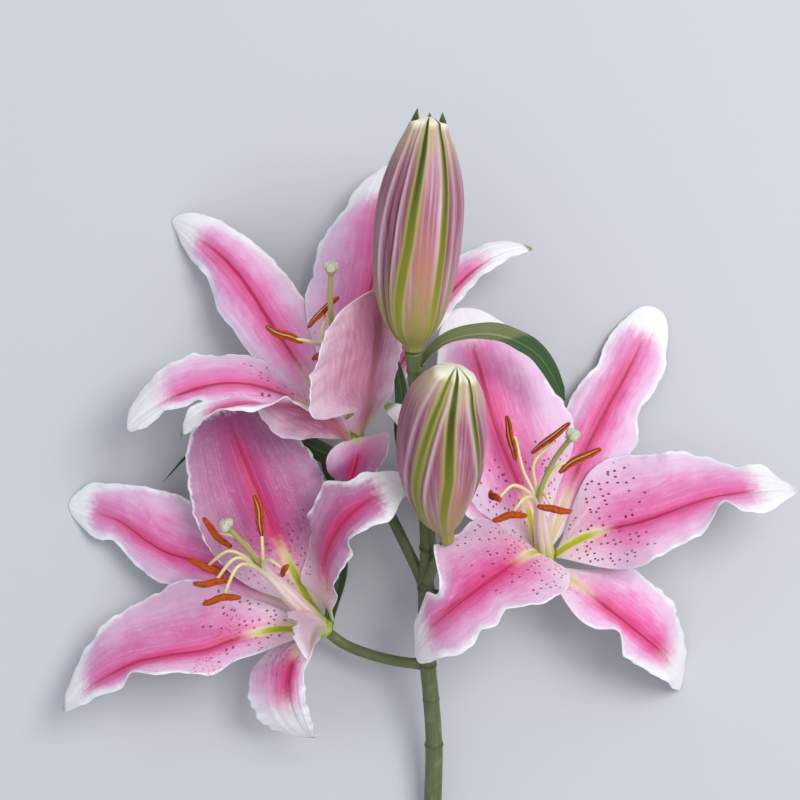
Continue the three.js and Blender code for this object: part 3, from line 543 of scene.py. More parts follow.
# Each tepal's shape, its paint and the folds of its margins: which side, where along, how long, how
# far outward and how far lifted towards the face.
TEPALS = {
    "right_bloom.petal_right": (
        (7, -3, 25, 89, .76, 127, 59, .36, .68, .19, 5, -24, 27, 2, 3, .1),
        (.5, 5.2, 1, .44, .3, -.2, .45, 1, .3, .1),
        [(-1, .38, .1, 4, 0), (-1, .7, .055, -7.5, 5), (-1, .86, .04, 2, -1.5), (1, .53, .1, -4, 1),
         (1, .9, .035, 3, 2), (1, .8, .04, -1.5, -1)]),
    "right_bloom.petal_upper_left": (
        (140, -34, 23, 82, 1.01, 130, 61, .43, .51, -.14, 7, 9, -1, 1.5, 3, 0),
        (.6, 4.5, .8, .47, .3, .1, .5, 1, 0, .1),
        [(-1, .46, .08, 2.7, 0), (-1, .3, .08, 3.5, 0), (1, .3, .08, 3.5, 0), (-1, .78, .05, -1.5, 2),
         (-1, .92, .03, 1.5, -1)]),
    "right_bloom.petal_lower_left": (
        (-117, -41, 18, 185, 1.3, 130, 56, .42, .58, -.06, 5, 9, -21, 2, 3, .3),
        (.8, 4.6, 1, .58, .3, .05, .6, 1.6, 0, .35),
        [(-1, .735, .055, -14.5, 2), (-1, .62, .05, 4, -1), (-1, .86, .05, -3, 0), (1, .6, .05, -5.5, 4),
         (1, .69, .03, -2.5, 2), (1, .79, .05, 3, -2), (1, .49, .03, 1, -1)]),
    "right_bloom.sepal_upper_right": (
        (72, -11, 40, 69.7, .63, 132, 37, .48, .44, -.07, 19, -3, -6, 1, 3, 0),
        (.6, 4, 0, .1, .5, -.12, .75, 1, 0, .1),
        [(1, .7, .07, -3.5, 2), (-1, .61, .05, -3.5, 3), (-1, .49, .05, 2.5, -1), (-1, .8, .06, 2, -1)]),
    "right_bloom.sepal_left": (
        (180, -42, 42, 71.5, 1.3, 112, 31, .47, .63, -.33, 6, -8, -7, .8, 3, 0),
        (.3, 9, 0, .1, .5, 0, .5, 1, .9, 0),
        [(1, .86, .1, -4, 0), (-1, .92, .05, 1.5, 0)]),
    "right_bloom.sepal_lower_right": (
        (-60, 85, 40, 164, .62, 115, 39, .37, .61, .32, 13, -2, -38, 1.5, 3, 0),
        (.68, 8.5, .1, .25, .4, 0, .5, 1, .5, 0),
        [(-1, .41, .05, -5.5, 4), (-1, .5, .04, 1, -1), (1, .75, .1, 1.5, 0)]),
    "left_bloom.petal_up": (
        (95, 10, 25, 79, 1.06, 121, 64, .5, .57, .01, 8, -16, -19, 1, 3, 0),
        (.85, 2, .5, .5, .3, 0, .5, 1.4, 0, 1),
        [(1, .84, .06, 1, 0), (-1, .62, .07, 1, 1)]),
    "left_bloom.petal_lower_left": (
        (-164, 2, 25.5, 115, .93, 139, 48, .47, .64, -.4, 5, 7, -12, 2, 3, 0),
        (.6, 5, .8, .42, .25, .38, .42, 1, .6, .4),
        [(1, .4, .08, 5, -1), (1, .25, .08, 2.5, 0), (1, .66, .05, -5, 5), (1, .8, .05, -2, 2),
         (-1, .86, .05, 1.5, 1)]),
    "left_bloom.petal_near": (
        (-48, -23, 23, 52, 1.1, 76, 23, .49, .61, .2, -80, -70, -60, 1, 2, 0),
        (.3, 4, 1, .7, 0, 0, .5, 2, 0, 0),
        [(1, .55, .2, -3, 0), (1, .25, .16, 9, 0)]),
    "left_bloom.sepal_left": (
        (140, 21, 40.5, 95.8, 1.32, 141, 42, .48, .57, .04, 19, 0, 30, 1.2, 3, 0),
        (.55, 3.8, 0, .1, .4, .38, .58, 1, 0, .25),
        [(-1, .92, .05, 2, 0), (1, .78, .06, -5, 3), (1, .58, .06, 2, -1)]),
    "left_bloom.sepal_bottom": (
        (-122, 47, 33, 199, .97, 71, 34, .48, .63, -.4, 5, 8, -23, .8, 2, 0),
        (.8, 8, .3, .4, .2, 0, .5, 1, .8, .1),
        [(-1, .35, .05, 2, -1), (1, .85, .08, -2, 0)]),
    "left_bloom.sepal_right": (
        (29, -4, 21, 139, 2.39, 114, 33, .51, .58, .18, 5, 1, -11, 1.5, 3, 0),
        (1, 4, .5, .35, .1, 0, .5, 1.3, 0, .9),
        [(1, .17, .09, 3, 10), (1, .68, .05, 5, -1), (1, .8, .05, -3.5, 3), (1, .9, .04, -2, 0),
         (-1, .85, .06, 4, -2), (-1, .66, .05, -2.5, 3)]),
    "top_bloom.petal_left": (
        (-169, -11, 30, 135, 1.11, 117, 44, .53, .55, -.34, 13, -5, 21, 1.5, 3, 0),
        (.3, 6, .9, .47, .3, -.1, .5, 1, 0, .05),
        [(-1, .2, .08, 4, 0), (1, .78, .08, -5, 2), (1, .66, .06, -4, 2), (-1, .72, .02, -1.5, 1)]),
    "top_bloom.petal_near": (
        (-29, 8, 19, 7, .81, 80, 63, .51, .56, -.4, 30, 6, 47, .8, 2, 0),
        (.4, 2.5, .6, .4, .8, .15, .7, 1.5, 0, 0),
        [(-1, .75, .12, -3.5, 0), (-1, .24, .11, -13.5, 0), (-1, .08, .09, 4, 13), (-1, .45, .07, 4, 0),
         (1, .6, .25, -5, 0)]),
    "top_bloom.petal_back": (
        (73, 2, 23, 74, 1.32, 135, 57, .47, .65, .05, 12, -9, 19, 1.5, 4, 0),
        (.5, 5.5, .5, .35, .3, -.2, .6, 1, 0, .1),
        [(1, .82, .04, -1.5, 1), (1, .74, .03, 1, -1), (-1, .7, .06, -2, 2)]),
    "top_bloom.sepal_upper_left": (
        (137, -10, 42, 84, 1.83, 143, 39, .45, .63, -.12, 35, 5, 69, 1, 3, 0),
        (.4, 5.5, .1, .2, .4, -.18, .7, 1, 0, 0),
        [(1, .75, .06, -4, 3), (1, .6, .05, 1.5, -1)]),
    "top_bloom.sepal_lower_left": (
        (-110, -95, 35, 152, 1.95, 109, 27, .4, .8, -.4, 5, -110, 30, 3, 3, .5),
        (.7, 5, .4, .3, 1, 0, .5, 1, 1, 0),
        [(1, .38, .15, -3, -7), (1, .52, .05, 5, 5), (-1, .66, .05, 9, 0), (1, .75, .1, 3, 0)]),
    "top_bloom.sepal_right": (
        (31, 1, 42, 116, 2.98, 127, 25, .47, .6, .4, 14, -6, -11, .8, 3, 0),
        (.25, 7, 0, .1, .5, 0, .5, 1, .9, 0),
        []),
    "top_bloom.sepal_hanging": (
        (-74, -90, 91, 174, 1.02, 50, 35, .38, .61, -.04, 13, -22, -37, 1, 2, 0),
        (1.3, 2.6, 0, .1, 1.1, -.1, .5, .4, 0, 1.2),
        [(1, .05, .2, 9, 8), (-1, .1, .2, 4, 6), (1, .62, .12, -5, 6)]),
}
# Where pollen has dropped on a face: a place seen from above, and how far round it.
POLLEN = {
    "left_bloom.petal_lower_left": [(-92, -126, 7), (-84, -131, 5), (-79, -107, 5), (-85, -113, 4)],
    "right_bloom.sepal_lower_right": [(80, -90, 3)],
    "top_bloom.petal_left": [(-63, 20, 2.5)],
}
PALE_PINK, PINK, HOT_PINK, PAINTED_SHADE_MAUVE = (238, 206, 232), (232, 150, 202), (228, 62, 146), (148, 60, 118)
CRIMSON, STRIPE, LIGHT_VEIN, DARK_VEIN = (208, 26, 100), (172, 0, 74), (252, 226, 242), (196, 60, 140)
MOTTLING, MARGIN_WHITE, TIP_WHITE, THROAT = (250, 230, 244), (246, 242, 248), (246, 244, 246), (248, 228, 234)
CREAM, FURROW_GREEN, SPOT, POLLEN_GRAIN = (248, 240, 190), (182, 198, 34), (128, 10, 62), (190, 66, 30)
BACK_VEIN, BACK_PALE, ROSE_VEIN, ROSE_PALE = (214, 176, 198), (230, 206, 218), (180, 82, 126), (206, 126, 166)
BACK_MARGIN, KEEL_GREEN, KEEL_ROSE = (240, 232, 242), (184, 186, 96), (192, 112, 124)
KEEL_TAN, KEEL_WINE, FOOT_CREAM, TIP_GREEN = (170, 128, 120), (150, 56, 84), (206, 204, 120), (104, 124, 44)


def bloom_frame(bloom):
    """A bloom's base, its axis, the level vector across it and the one above: across is X made
    square to the axis, and above is axis x across."""
    axis = unit(np.array(BLOOMS[bloom]["axis"], float))
    across = unit(np.array([1.0, 0, 0]) - axis * axis[0])
    return np.array(BLOOMS[bloom]["base"], float), axis, across, np.cross(axis, across)


def tepal_midrib(bloom, tepal, is_petal, s):
    """Places, headings and side vectors of the midrib at s. The heading leaves the bloom's axis at
    lean + (flare - lean) q^bend, towards the side azimuth + sway q, and is summed along the length."""
    base, axis, across, above = bloom_frame(bloom)
    q = np.linspace(0, 1, 601)[:, None]
    away = np.radians(tepal["lean"] + (tepal["flare"] - tepal["lean"]) * q ** tepal["bend"])
    towards = np.radians(tepal["azimuth"] + tepal["sway"] * q)
    out = np.cos(towards) * across + np.sin(towards) * above
    heading = np.cos(away) * axis + np.sin(away) * out
    side = np.cos(towards) * above - np.sin(towards) * across
    claw = base + out[0] * (PETAL_RING if is_petal else SEPAL_RING) - axis * (0 if is_petal else SEPAL_DROP)
    steps = (heading[1:] + heading[:-1]) / 2 * tepal["length"] / 600
    trail = np.vstack([claw, claw + np.cumsum(steps, axis=0)])
    heading, side, trail = (between(s, q[:, 0], rows) for rows in (heading, side, trail))
    heading = unit(heading)
    return trail, heading, unit(side - heading * (side * heading).sum(-1, keepdims=True))


def tepal_half_width(tepal, s):
    """Half the width: a narrow claw that widens as a quarter sine, then (1 - x^2)^taper to the tip."""
    full, widest = tepal["width"] / 2, tepal["widest"]
    x = np.clip(np.where(s < widest, s / widest, (s - widest) / (1 - widest)), 0, 1)
    return np.where(s < widest, TEPAL_CLAW + (full - TEPAL_CLAW) * np.sin(np.pi / 2 * x) ** 1.2,
                    full * (1 - x ** 2) ** tepal["taper"] + 1.1 * x)


def tepal_surface(bloom, tepal, folds, is_petal, s, v, seed):
    """The middle surface at s along and v across, and the distances off the midrib and from the
    margin. Across it is an arc of the angle cup, turned by turn, sunk along the midrib; its margins
    wave, and each fold moves them out and up by a bell curve along s."""
    trail, heading, side = tepal_midrib(bloom, tepal, is_petal, s)
    inner = unit(np.cross(side, heading))
    s, v = s[:, None], v[None]
    first, last = tepal["first_turn"], tepal["last_turn"]
    turn = np.radians(first + (last - first) * s) * np.minimum(1, 4 * s)
    across, rise = side * np.cos(turn) + inner * np.sin(turn), inner * np.cos(turn) - side * np.sin(turn)
    sign, size = np.where(v < 0, -1, 1), np.abs(v)
    ragged = (0.010 * np.sin(61 * s + seed + 2 * sign) + 0.007 * np.sin(113 * s + 2.1 * seed)
              + 0.005 * np.sin(197 * s + 3.7 * seed + sign))
    half = (tepal_half_width(tepal, s) * (1 + sign * tepal["skew"] * np.minimum(1, 3 * s))
            * (1 + ragged * ramp(s, 0.3, 0.55)))
    lift = 0.5 * np.sin(23 * s + 1.3 * seed + 2 * sign) + ramp(s, 0.25, 0.5) * (
        0.6 * np.sin(41 * s + 0.7 * seed) + 0.45 * np.sin(83 * s + 2.9 * seed + sign))
    for on, place, spread, outward, up in folds:
        fold = bell(s - place, spread) * (sign == on)
        half, lift = half + outward * fold, lift - up * fold
    off = half * v - half * tepal["rib"] * bell(s - tepal["rib_at"], 0.22) * (1 - v ** 2)
    wave = tepal["ruffle"] * v ** 2 * np.sin(2 * np.pi * (
        tepal["waves"] * s + tepal["phase"] + np.where(sign < 0, 0.5, 0)))
    sink = 0.9 * bell(off, 3.5) + (1 - v ** 2) * (
        0.22 * np.cos(15 * v + seed) + 0.14 * np.cos(27 * v + 2 * seed))
    bow = np.radians(tepal["cup"]) * size + 1e-9
    x = sign * half * size * np.sin(bow) / bow
    y = (half * size * (1 - np.cos(bow)) / bow
         + (wave + lift * size ** 4 + sink) * np.sqrt(np.sin(np.pi * np.minimum(s, 0.9995))))
    rows = trail[:, None] + across[:, None] * x[..., None] + rise[:, None] * y[..., None]
    return rows, off, half * (1 - size)


# The colours of a tepal, from millimetres off the midrib, from the margin, along it and to its tip.
tepal_colour, given, out = effect(
    "tepal colour", dict(Furrow=1.0), dict(Face="NodeSocketColor", Height="NodeSocketFloat"))
furrow = given["Furrow"]
off, edge, along, run, tip, deep, seed, inside, dust, pink, margin, spots, reach, rosy, point, mauve = read(
    tepal_colour, "off edge along run tip deep seed inside dust pink margin spots reach rosy point mauve")

apart = calc("ABSOLUTE", off)
share = calc("DIVIDE", apart, plus(apart, edge, 0.01))
side = times(share, calc("SIGN", off))
lines = use(tepal_colour, veins, Across=side, Along=along, Seed=seed, Count=38.0)["Lines"]
here = together(off, run, seed)
drift, mottle, fleck = (
    minus(cloudy(here, scale, detail), 0.5) for scale, detail in ((0.11, 2.0), (0.45, 3.0), (2.4, 2.0)))
streak = minus(cloudy(together(times(off, 0.8), times(run, 0.1), seed), 1.0, 2.0), 0.5)
uneven = plus(times(drift, 0.45), times(streak, 0.35))
outwards = plus(share, uneven)

middle = times(fade(along, 0.14, 0.32), fade(along, 0.95, 0.68))
hot = times(fade(outwards, 0.74, 0.0), fade(along, 0.12, 0.42), fade(along, 0.96, 0.64))
glow = times(fade(plus(apart, times(uneven, 7.0)), 6.5, 0.3), middle)
stripe = times(fade(plus(apart, times(streak, 0.6)), 1.4, 0.3), middle)
whitening = plus(times(along, along, along, 1.25), 0.10)
frost = plus(edge, times(streak, 3.0), times(mottle, 1.6), times(fleck, 0.8))
frost = calc("DIVIDE", frost, times(margin, whitening))
rim = times(fade(frost, 1.7, 0.0), fade(along, 0.02, 0.3))
end = calc("DIVIDE", plus(tip, times(streak, 9.0), times(mottle, 7.0), times(fleck, 4.0)), times(margin, 4.0))
cream = times(fade(plus(apart, times(streak, 1.5)), 4.2, 1.2), fade(deep, 0.30, 0.18), furrow)
green = times(fade(plus(apart, streak), 2.4, 0.9), fade(deep, 0.25, 0.16), furrow)

# Spots: one in each cell of a net, where a draw by the cell lets it through.
cells = tepal_colour.nodes.new("ShaderNodeTexVoronoi")
cells.voronoi_dimensions = "2D"
cells.inputs["Scale"].default_value = 0.36
put(cells.inputs["Vector"], together(off, times(run, 0.7), 0.0))
spread = calc("DIVIDE", along, plus(reach, 0.001))
drawn = fade(minus(cells.outputs["Color"], plus(0.30, times(spread, spread, 0.42))), 0.0, 0.04)
dots = times(fade(plus(cells.outputs["Distance"], times(fleck, 0.12)), 0.21, 0.13), drawn)
place = times(fade(deep, 0.07, 0.10), fade(plus(spread, times(drift, 0.5)), 1.05, 0.95),
              fade(share, 0.93, 0.86), fade(apart, 2.0, 3.0))
dots = calc("MULTIPLY", times(dots, place), plus(spots, 0.1), True)
grains = times(fade(cloudy(here, 1.3, 1.0), 0.60, 0.66), fade(plus(dust, mottle), 0.35, 0.6))

face = coats(
    tint(fade(outwards, 0.95, 0.2), PALE_PINK, PINK),
    (times(hot, plus(times(pink, 0.85), 0.12)), HOT_PINK),
    # Painted shade: a mauve layer darkens the whole face of tepals that lie in shadow.
    (times(mauve, plus(0.64, times(mottle, 0.4)), fade(along, 0.1, 0.4)), PAINTED_SHADE_MAUVE),
    (times(glow, plus(0.25, times(pink, 0.65))), CRIMSON),
    (times(stripe, 0.85), STRIPE),
    (times(fade(lines, 0.5, 0.72), 0.10), LIGHT_VEIN),
    (times(fade(lines, 0.5, 0.30), 0.09), DARK_VEIN),
    (times(fade(mottle, 0.02, 0.30), fade(apart, 3.0, 9.0), 0.2), MOTTLING),
    (rim, MARGIN_WHITE),
    (times(fade(end, 1.3, 0.6), 0.96), TIP_WHITE),
    (times(fade(plus(deep, times(mottle, 0.15)), 0.32, 0.04), 0.8), THROAT),
    (times(cream, 0.9), CREAM),
    (green, FURROW_GREEN),
    (times(dots, 0.95), SPOT),
    (times(grains, 0.9), POLLEN_GRAIN))

keel = times(fade(plus(apart, times(streak, 1.5)), 4.2, 0.8), fade(along, 1.0, 0.75))
keel_colour = tint(fade(along, 0.2, 0.6), tint(calc("MULTIPLY", rosy, 1.7, True), KEEL_GREEN, KEEL_ROSE),
                   tint(rosy, KEEL_TAN, KEEL_WINE))
back = coats(
    tint(fade(plus(lines, times(drift, 0.6)), 0.10, 0.90), BACK_VEIN, BACK_PALE),
    (calc("MULTIPLY", fade(outwards, 1.0, 0.15), rosy, True),
     tint(fade(plus(lines, times(streak, 0.8)), 0.10, 0.90), ROSE_VEIN, ROSE_PALE)),
    (times(rim, 0.7), BACK_MARGIN),
    (times(keel, 0.8), keel_colour),
    (times(fade(along, 0.16, 0.02), minus(1.0, times(rosy, 0.7))), FOOT_CREAM))
green_tip = times(fade(plus(tip, times(fleck, 2.0)), 4.5, 1.5), point)
put(out["Face"], coats(back, (inside, face), (green_tip, TIP_GREEN)))
put(out["Height"], plus(times(lines, plus(0.06, times(inside, 0.16))), times(dots, 0.8), times(mottle, 0.5),
                        times(fleck, 0.2)))

tepal_looks = {}
for kind, depth in (("petal", 1.0), ("sepal", 0.4)):
    tepal_looks[kind], tree, shader = finish_look(kind, 0.46, 0.3, 0.35, (1.6, 0.7, 0.9), 0.15)
    colour = use(tree, tepal_colour, Furrow=depth)
    put(shader["Base Color"], colour["Face"])
    put(shader["Normal"], relief(colour["Height"], 0.0006, 0.7))

s, even = 1 - (1 - np.linspace(0, 1, 140)) ** 1.25, np.linspace(-1, 1, 51)
v = np.sin(even * np.pi / 2) * 0.35 + even * 0.65    # closer together towards the margins
for seed, (node, (shape, paint, folds)) in enumerate(TEPALS.items(), 1):
    tepal = dict(zip(TEPAL_SHAPE + TEPAL_PAINT, shape + paint))
    bloom, kind = node.split(".")[0], node.split(".")[1][:5]
    rows, off, edge = tepal_surface(bloom, tepal, folds, kind == "petal", s, v, seed)
    rows[..., 2] = np.maximum(rows[..., 2], 0.5)    # the tips rest on the surface
    along = s[:, None]
    shoulder = 0.35 * bell(np.abs(off) - 2.6, 1.1) * ramp(along, 0.28, 0) * (kind == "petal")
    dust = sum(bell(np.hypot(rows[..., 0] - x, rows[..., 1] - y), r) for x, y, r in POLLEN.get(node, []))
    grow(f"{node}.blade", node, kind, tepal_looks[kind], *blade(
        rows, TEPAL_BLADE * (1 - 0.62 * v ** 4) * (1 - 0.35 * along),
        0.6 * bell(off, 1.5) * (1 - along) ** 0.7,
        shoulder - 0.18 * bell(off, 0.9) * np.sin(np.pi * along) ** 0.5, dict(inside=(0.0, 1.0)),
        off=off, edge=edge, along=along, run=along * tepal["length"], tip=(1 - along) * tepal["length"],
        deep=along / tepal["throat"], seed=seed * 1.7, dust=dust,
        **{key: tepal[key] for key in ("pink", "margin", "spots", "reach", "rosy", "point", "mauve")}))

# Receptacles and filaments.
# Each bloom's six filaments grow in a ring on its receptacle, round the ovary: stout and pinkish
# white below, slender and yellow-green above, where each bends over and ends in a fine point.

RECEPTACLE_RIMS = (3.2, 5.5, 5.5, 4.3, 4.3, 3.6)    # its radius at even steps from its foot to its top
FILAMENT_RING, FILAMENT_SEAT, ANTHER_SEAT, ANTHER_WIDTH, ANTHER_DEPTH = 3.1, 0.6, 0.3, 4.2, 3.0
# Where the middle of each bloom's column of filaments opens.
COLUMN_TOPS = {
    "right_bloom": (64.7, -46.9, 60), "left_bloom": (-64.4, -79.0, 60), "top_bloom": (-30.0, 22.0, 66)}
# Both ends of each anther, the bend that its filament takes on its way there, and 1 where it has
# split open along its face.
ANTHERS = {
    "right_bloom": [((50.1, -8.4, 61), (53.9, -27.2, 60), (57.5, -32.7, 62), 1),
                    ((62.0, -24.2, 66), (78.3, -11.2, 67), (62.4, -29.4, 66), 1),
                    ((74.1, -32.4, 72), (91.7, -22.2, 72), (73.5, -30.3, 71), 1),
                    ((41.1, -42.9, 75), (45.0, -46.0, 87), (52.0, -39.5, 76), 0),
                    ((43.0, -54.4, 82), (57.5, -52.2, 83), (57.0, -45.5, 79), 0),
                    ((63.4, -49.2, 87), (77.6, -51.4, 87), (67.0, -44.0, 82), 0)],
    "left_bloom": [((-92.4, -56.4, 60), (-80.1, -69.0, 62), (-74.2, -64.6, 69), 0),
                   ((-66.8, -45.0, 71), (-63.6, -62.2, 70), (-64.0, -68.0, 68), 1),
                   ((-98.0, -74.0, 64), (-82.6, -81.7, 66), (-79.0, -70.0, 72), 0),
                   ((-95.0, -85.4, 74), (-79.0, -83.6, 75), (-76.0, -73.0, 78), 0),
                   ((-90.4, -93.0, 78), (-74.2, -90.0, 80), (-74.5, -76.5, 82), 0),
                   ((-54.6, -80.8, 80), (-52.0, -75.6, 94), (-59.0, -73.5, 84), 0)],
    "top_bloom": [((-61.0, 33.0, 81), (-45.6, 26.6, 80), (-42.0, 27.0, 80), 1),
                  ((-42.5, 34.7, 74), (-29.6, 47.6, 72), (-36.0, 30.0, 75), 1),
                  ((-33.0, 30.0, 82), (-20.0, 36.0, 80), (-28.5, 28.0, 78), 1),
                  ((-27.0, 36.0, 66), (-14.0, 44.0, 64), (-24.0, 31.0, 66), 0),
                  ((-19.0, 30.0, 74), (-8.0, 38.0, 72), (-20.0, 28.0, 72), 0),
                  ((-40.0, 20.0, 84), (-27.0, 24.0, 86), (-33.0, 21.0, 80), 0)],
}
PINK_WHITE, YELLOW_GREEN, GREEN_FOOT = (236, 214, 206), (224, 222, 156), (196, 208, 96)
GREEN_STREAK, HEART_GREEN = (200, 206, 118), (158, 174, 66)

filament_look, tree, shader = finish_look("filament", 0.35, 0.4, 0.3, (1.2, 1.0, 0.5))
around, along, heart = read(tree, "round along heart")
streaks = fade(cloudy(together(times(around, 5.0), along, 0.0), 1.0), 0.45, 0.7)
put(shader["Base Color"], coats(
    tint(fade(along, 0.34, 0.6), PINK_WHITE, YELLOW_GREEN), (fade(along, 0.16, 0.0), GREEN_FOOT),
    (times(streaks, 0.25), GREEN_STREAK), (heart, HEART_GREEN)))

t, q = np.linspace(0, 1, 20), np.linspace(0, 1, 70)[:, None]
rims = np.interp(t, np.linspace(0, 1, 6), RECEPTACLE_RIMS)[:, None]
thick = 0.6 + 0.35 * ramp(q, 0.85, 0.45) + 1.15 * ramp(q, 0.5, 0.24) ** 0.9
stamens = {}
for bloom, rows in ANTHERS.items():
    base, axis, across, above = bloom_frame(bloom)
    ends = np.array([row[:2] for row in rows], float)
    bends, opened = np.array([row[2] for row in rows]), np.array([row[3] for row in rows])
    middle = ends.mean(1)
    bearing = np.arctan2((middle - base) @ above, (middle - base) @ across)
    order = np.argsort(bearing)
    ends, middle, bearing, opened, bends = (a[order] for a in (ends, middle, bearing, opened, bends))
    sixths = np.arange(6) * np.pi / 3
    place = (bearing - sixths).mean() + sixths
    seat = base + FILAMENT_SEAT * axis
    foot = seat + FILAMENT_RING * (np.cos(place)[:, None] * across + np.sin(place)[:, None] * above)
    reach = np.linalg.norm(foot - middle, axis=1, keepdims=True)
    facing = unit(middle - base - axis * reach * 0.45)
    lengthwise = unit(ends[:, 1] - ends[:, 0])
    facing = unit(facing - lengthwise * (facing * lengthwise).sum(1, keepdims=True))
    head = middle + facing * (0.8 - ANTHER_DEPTH / 2 - ANTHER_SEAT)
    stamens[bloom] = (ends, facing, opened)

    shells = [tube(
        base + axis * np.linspace(-4.2, 1.6, 20)[:, None], rims * (1 + 0.03 * np.cos(6 * turns(36))), across,
        along=0.0, round=0.5, heart=1.0)]
    column_top = np.array(COLUMN_TOPS[bloom])
    for a, d, w, bend in zip(foot, head, facing, bends):
        low, top = base + 0.5 * (column_top - base) + 0.62 * (a - seat), column_top + 0.5 * (a - seat)
        shells.append(tube(
            grown_curve([a, low, top, bend, d - 1.2 * w, d], q[:, 0]),
            thick * (1 + 0.08 * np.cos(2 * turns(12))),
            unit(np.cross(axis, d - a)), along=q, round=half_round(turns(12)), heart=0.0))
    grow(f"{bloom}.stamens", f"{bloom}.filaments", "filament", filament_look, *fused(shells))

# Anthers.
# Each filament carries a long anther balanced on its point. It has split along its two sacs, and
# their rolled lips are thick with rust-brown pollen beside a paler seam.

RUST, BRIGHT_RUST, DARK_RUST, LIP = (164, 54, 16), (232, 112, 38), (128, 40, 18), (84, 24, 14)
SEAM_TAN, SEAM_CREAM = (214, 170, 110), (244, 230, 176)

anther_look, tree, shader = finish_look("anther", 0.85, 0.15)
seam, lip = read(tree, "seam lip")
place = tree.nodes.new("ShaderNodeTexCoord").outputs["Object"]
powder, lumps = cloudy(place, 2600.0), cloudy(place, 620.0)
put(shader["Base Color"], coats(
    tint(powder, RUST, BRIGHT_RUST), (times(fade(lumps, 0.42, 0.66), 0.45), DARK_RUST),
    (times(lip, 0.8), LIP), (calc("MULTIPLY", seam, 1.0, True), tint(lumps, SEAM_TAN, SEAM_CREAM))))
put(shader["Normal"], relief(plus(powder, lumps), 0.0007, 0.9))

q, angle = np.linspace(0, 1, 64)[:, None], turns(32)
swell = 0.3 + 0.7 * np.sin(np.pi * np.clip(q, 0.001, 0.999)) ** 0.45
for bloom, rows in stamens.items():
    for i, ((a, b), out, is_open) in enumerate(zip(*rows)):
        a, b = a + (a - b) * 0.05, b + (b - a) * 0.05    # the sacs reach a little past both ends
        sideways = unit(np.cross(b - a, out))
        bow = out * 1.4 + sideways * 1.8 * (-1) ** i
        curve = (a * (1 - q) ** 2 + (a + b + 2 * bow) * q * (1 - q) + b * q ** 2 - bow / 2
                 + sideways * (0.55 * np.sin(2 * np.pi * q + i) * np.sin(np.pi * q)))
        seen = unit(out + np.array([0, 0, 1.0]))
        split = np.arctan2(seen @ unit(np.cross(sideways, b - a)), -(seen @ sideways))
        turned = (angle - split + np.pi) % (2 * np.pi) - np.pi
        wide, deep = ANTHER_WIDTH - 0.5 + 1.1 * is_open, ANTHER_DEPTH + 0.2
        oval = 1 / np.hypot(np.cos(angle) * 2 / wide, np.sin(angle) * 2 / deep)
        cleft = bell(turned, 0.34) + 0.6 * bell(np.abs(turned) - np.pi, 0.3)
        lumpy = (1 + 0.05 * np.sin(11 * q + 2 * i + 2 * np.cos(angle))
                 + 0.03 * np.sin(29 * q + 3 * i + 2 * angle))
        radius = swell * oval * (1 - (0.2 + 0.25 * is_open) * cleft) * lumpy * (0.94 - 0.06 * is_open)
        grow(f"{bloom}.anther_{i + 1}.sacs", f"{bloom}.anther_{i + 1}", "anther", anther_look, *tube(
            curve, radius, out, lip=(0.25 + 0.75 * is_open) * bell(np.abs(turned) - 0.52, 0.24),
            seam=(0.05 + 0.95 * is_open) * bell(turned, 0.24) * np.clip(np.sin(np.pi * q), 0, 1) ** 0.5))

# Pistils.
# The ovary is a ribbed green column inside the ring of filaments. It carries a long olive style that
# bends up to a three-lobed stigma, which is rough, wet and grey-green.

OVARY_SEAT, OVARY_R, STYLE_R, STIGMA_R = 2.8, 1.8, 1.25, 3.6
STYLES = {
    "right_bloom": ((70.2, -30.0, 72), (80.4, -14.2, 87)),
    "left_bloom": ((-71.0, -68.5, 71), (-81.0, -55.8, 85)),
    "top_bloom": ((-32.0, 42.0, 80), (-31.4, 62.7, 92)),
}
OVARY_GREEN, OLIVE, WET_GREY, WET_GLINT = (190, 200, 110), (166, 170, 92), (182, 188, 146), (220, 224, 196)


def eased(x, start, end):
    """0 at start, 1 at end and level beyond, by r^2 (3 - 2r) of the straight ramp r."""
    r = ramp(x, start, end)
    return r * r * (3 - 2 * r)


pistil_look, tree, shader = finish_look("pistil", 0.3, 0.5, 0.25, (0.9, 1.0, 0.4))
along, knob = read(tree, "along knob")
wet = cloudy(tree.nodes.new("ShaderNodeTexCoord").outputs["Object"], 1500.0, 2.0)
# The stigma's pale flecks are partly its own pale wet surface and partly painted glints of wetness.
put(shader["Base Color"], tint(knob, tint(fade(along, 0.1, 0.5), OVARY_GREEN, OLIVE),
                               tint(fade(wet, 0.30, 0.70), WET_GREY, WET_GLINT)))
put(shader["Normal"], relief(times(wet, knob), 0.0010, 0.9))

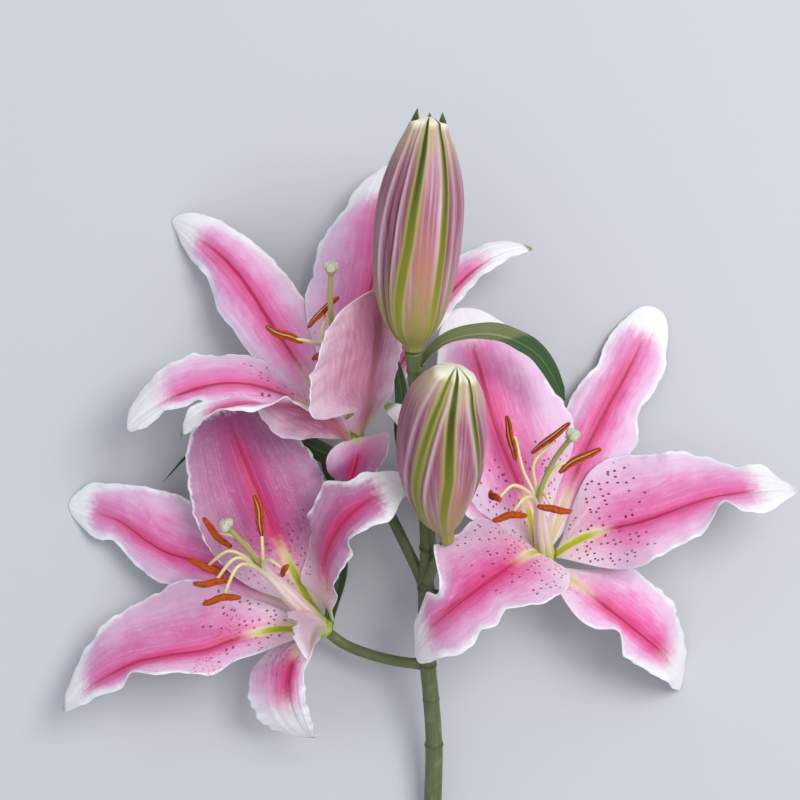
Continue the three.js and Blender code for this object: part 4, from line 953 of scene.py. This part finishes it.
t, angle = np.concatenate([np.linspace(0, 0.9, 90), np.linspace(0.905, 1, 40)])[:, None], turns(36)
knob = eased(t, 0.925, 0.975)
stalk = (OVARY_R + (STYLE_R - OVARY_R) * eased(t, 0.18, 0.32)) * (
    1 + 0.06 * np.cos(6 * angle) * (1 - eased(t, 0.2, 0.3)))
dome = np.sqrt(np.maximum(1 - ramp(t, 0.962, 1) ** 2.8, 0.02))
crown = STIGMA_R * (1 + 0.14 * np.cos(3 * angle)) * dome
cleft = 1 - 0.22 * bell(np.cos(1.5 * angle), 0.22) * knob
for bloom, bends in STYLES.items():
    base, axis, across, _ = bloom_frame(bloom)
    column_top = np.array(COLUMN_TOPS[bloom])
    curve = grown_curve([base + OVARY_SEAT * axis, (base + column_top) / 2, column_top, *bends], t[:, 0])
    grow(f"{bloom}.pistil.column", f"{bloom}.pistil", "pistil", pistil_look, *tube(
        curve, (stalk * (1 - knob) + crown * knob) * cleft, across, along=t, knob=knob))

# Surface, light and camera.
# The lily lies on a pale, matt surface under soft studio light from above, and the camera looks
# straight down on it.

backdrop, tree, shader = finish_look("pale surface", 0.9, 0.1)
put(shader["Base Color"], (199, 202, 207))
plane = bpy.data.meshes.new("surface")
plane.from_pydata([(-4, -4, 0), (4, -4, 0), (4, 4, 0), (-4, 4, 0)], [], [(0, 1, 2, 3)])
plane.materials.append(backdrop)
surface = bpy.data.objects.new("surface", plane)
bpy.context.scene.collection.objects.link(surface)

world = bpy.data.worlds.new("studio")
world.use_nodes = True
sky = world.node_tree.nodes["Background"].inputs
sky["Color"].default_value = (0.88, 0.92, 1.0, 1)
sky["Strength"].default_value = 0.62
bpy.context.scene.world = world


def soft_light(name, place, aim, size, power, colour):
    """A square area light at place that faces aim."""
    lamp = bpy.data.lights.new(name, "AREA")
    lamp.size, lamp.energy, lamp.color = size, power, colour
    made = bpy.data.objects.new(name, lamp)
    back = unit(np.array(place, float) - np.array(aim, float))
    right = unit(np.cross((0.0, 1.0, 0.01), back))
    up = np.cross(back, right)
    made.matrix_world = Matrix([[right[k], up[k], back[k], place[k]] for k in range(3)] + [[0, 0, 0, 1]])
    bpy.context.scene.collection.objects.link(made)


soft_light("key", (0.85, 0.6, 1.9), (0, 0, 0.05), 1.0, 29, (1.0, 0.985, 0.96))
soft_light("fill", (-0.2, -0.3, 2.0), (0, 0, 0.05), 1.6, 3, (0.95, 0.97, 1.0))

bpy.context.scene.view_settings.view_transform = "Standard"
lens = bpy.data.cameras.new("camera")
lens.lens, lens.sensor_width, lens.clip_end = 104.2, 36, 20
camera = bpy.data.objects.new("camera", lens)
camera.location = (-STEM_CENTRE[0] / 1000, -STEM_CENTRE[1] / 1000, 1.145)
bpy.context.scene.collection.objects.link(camera)
bpy.context.scene.camera = camera
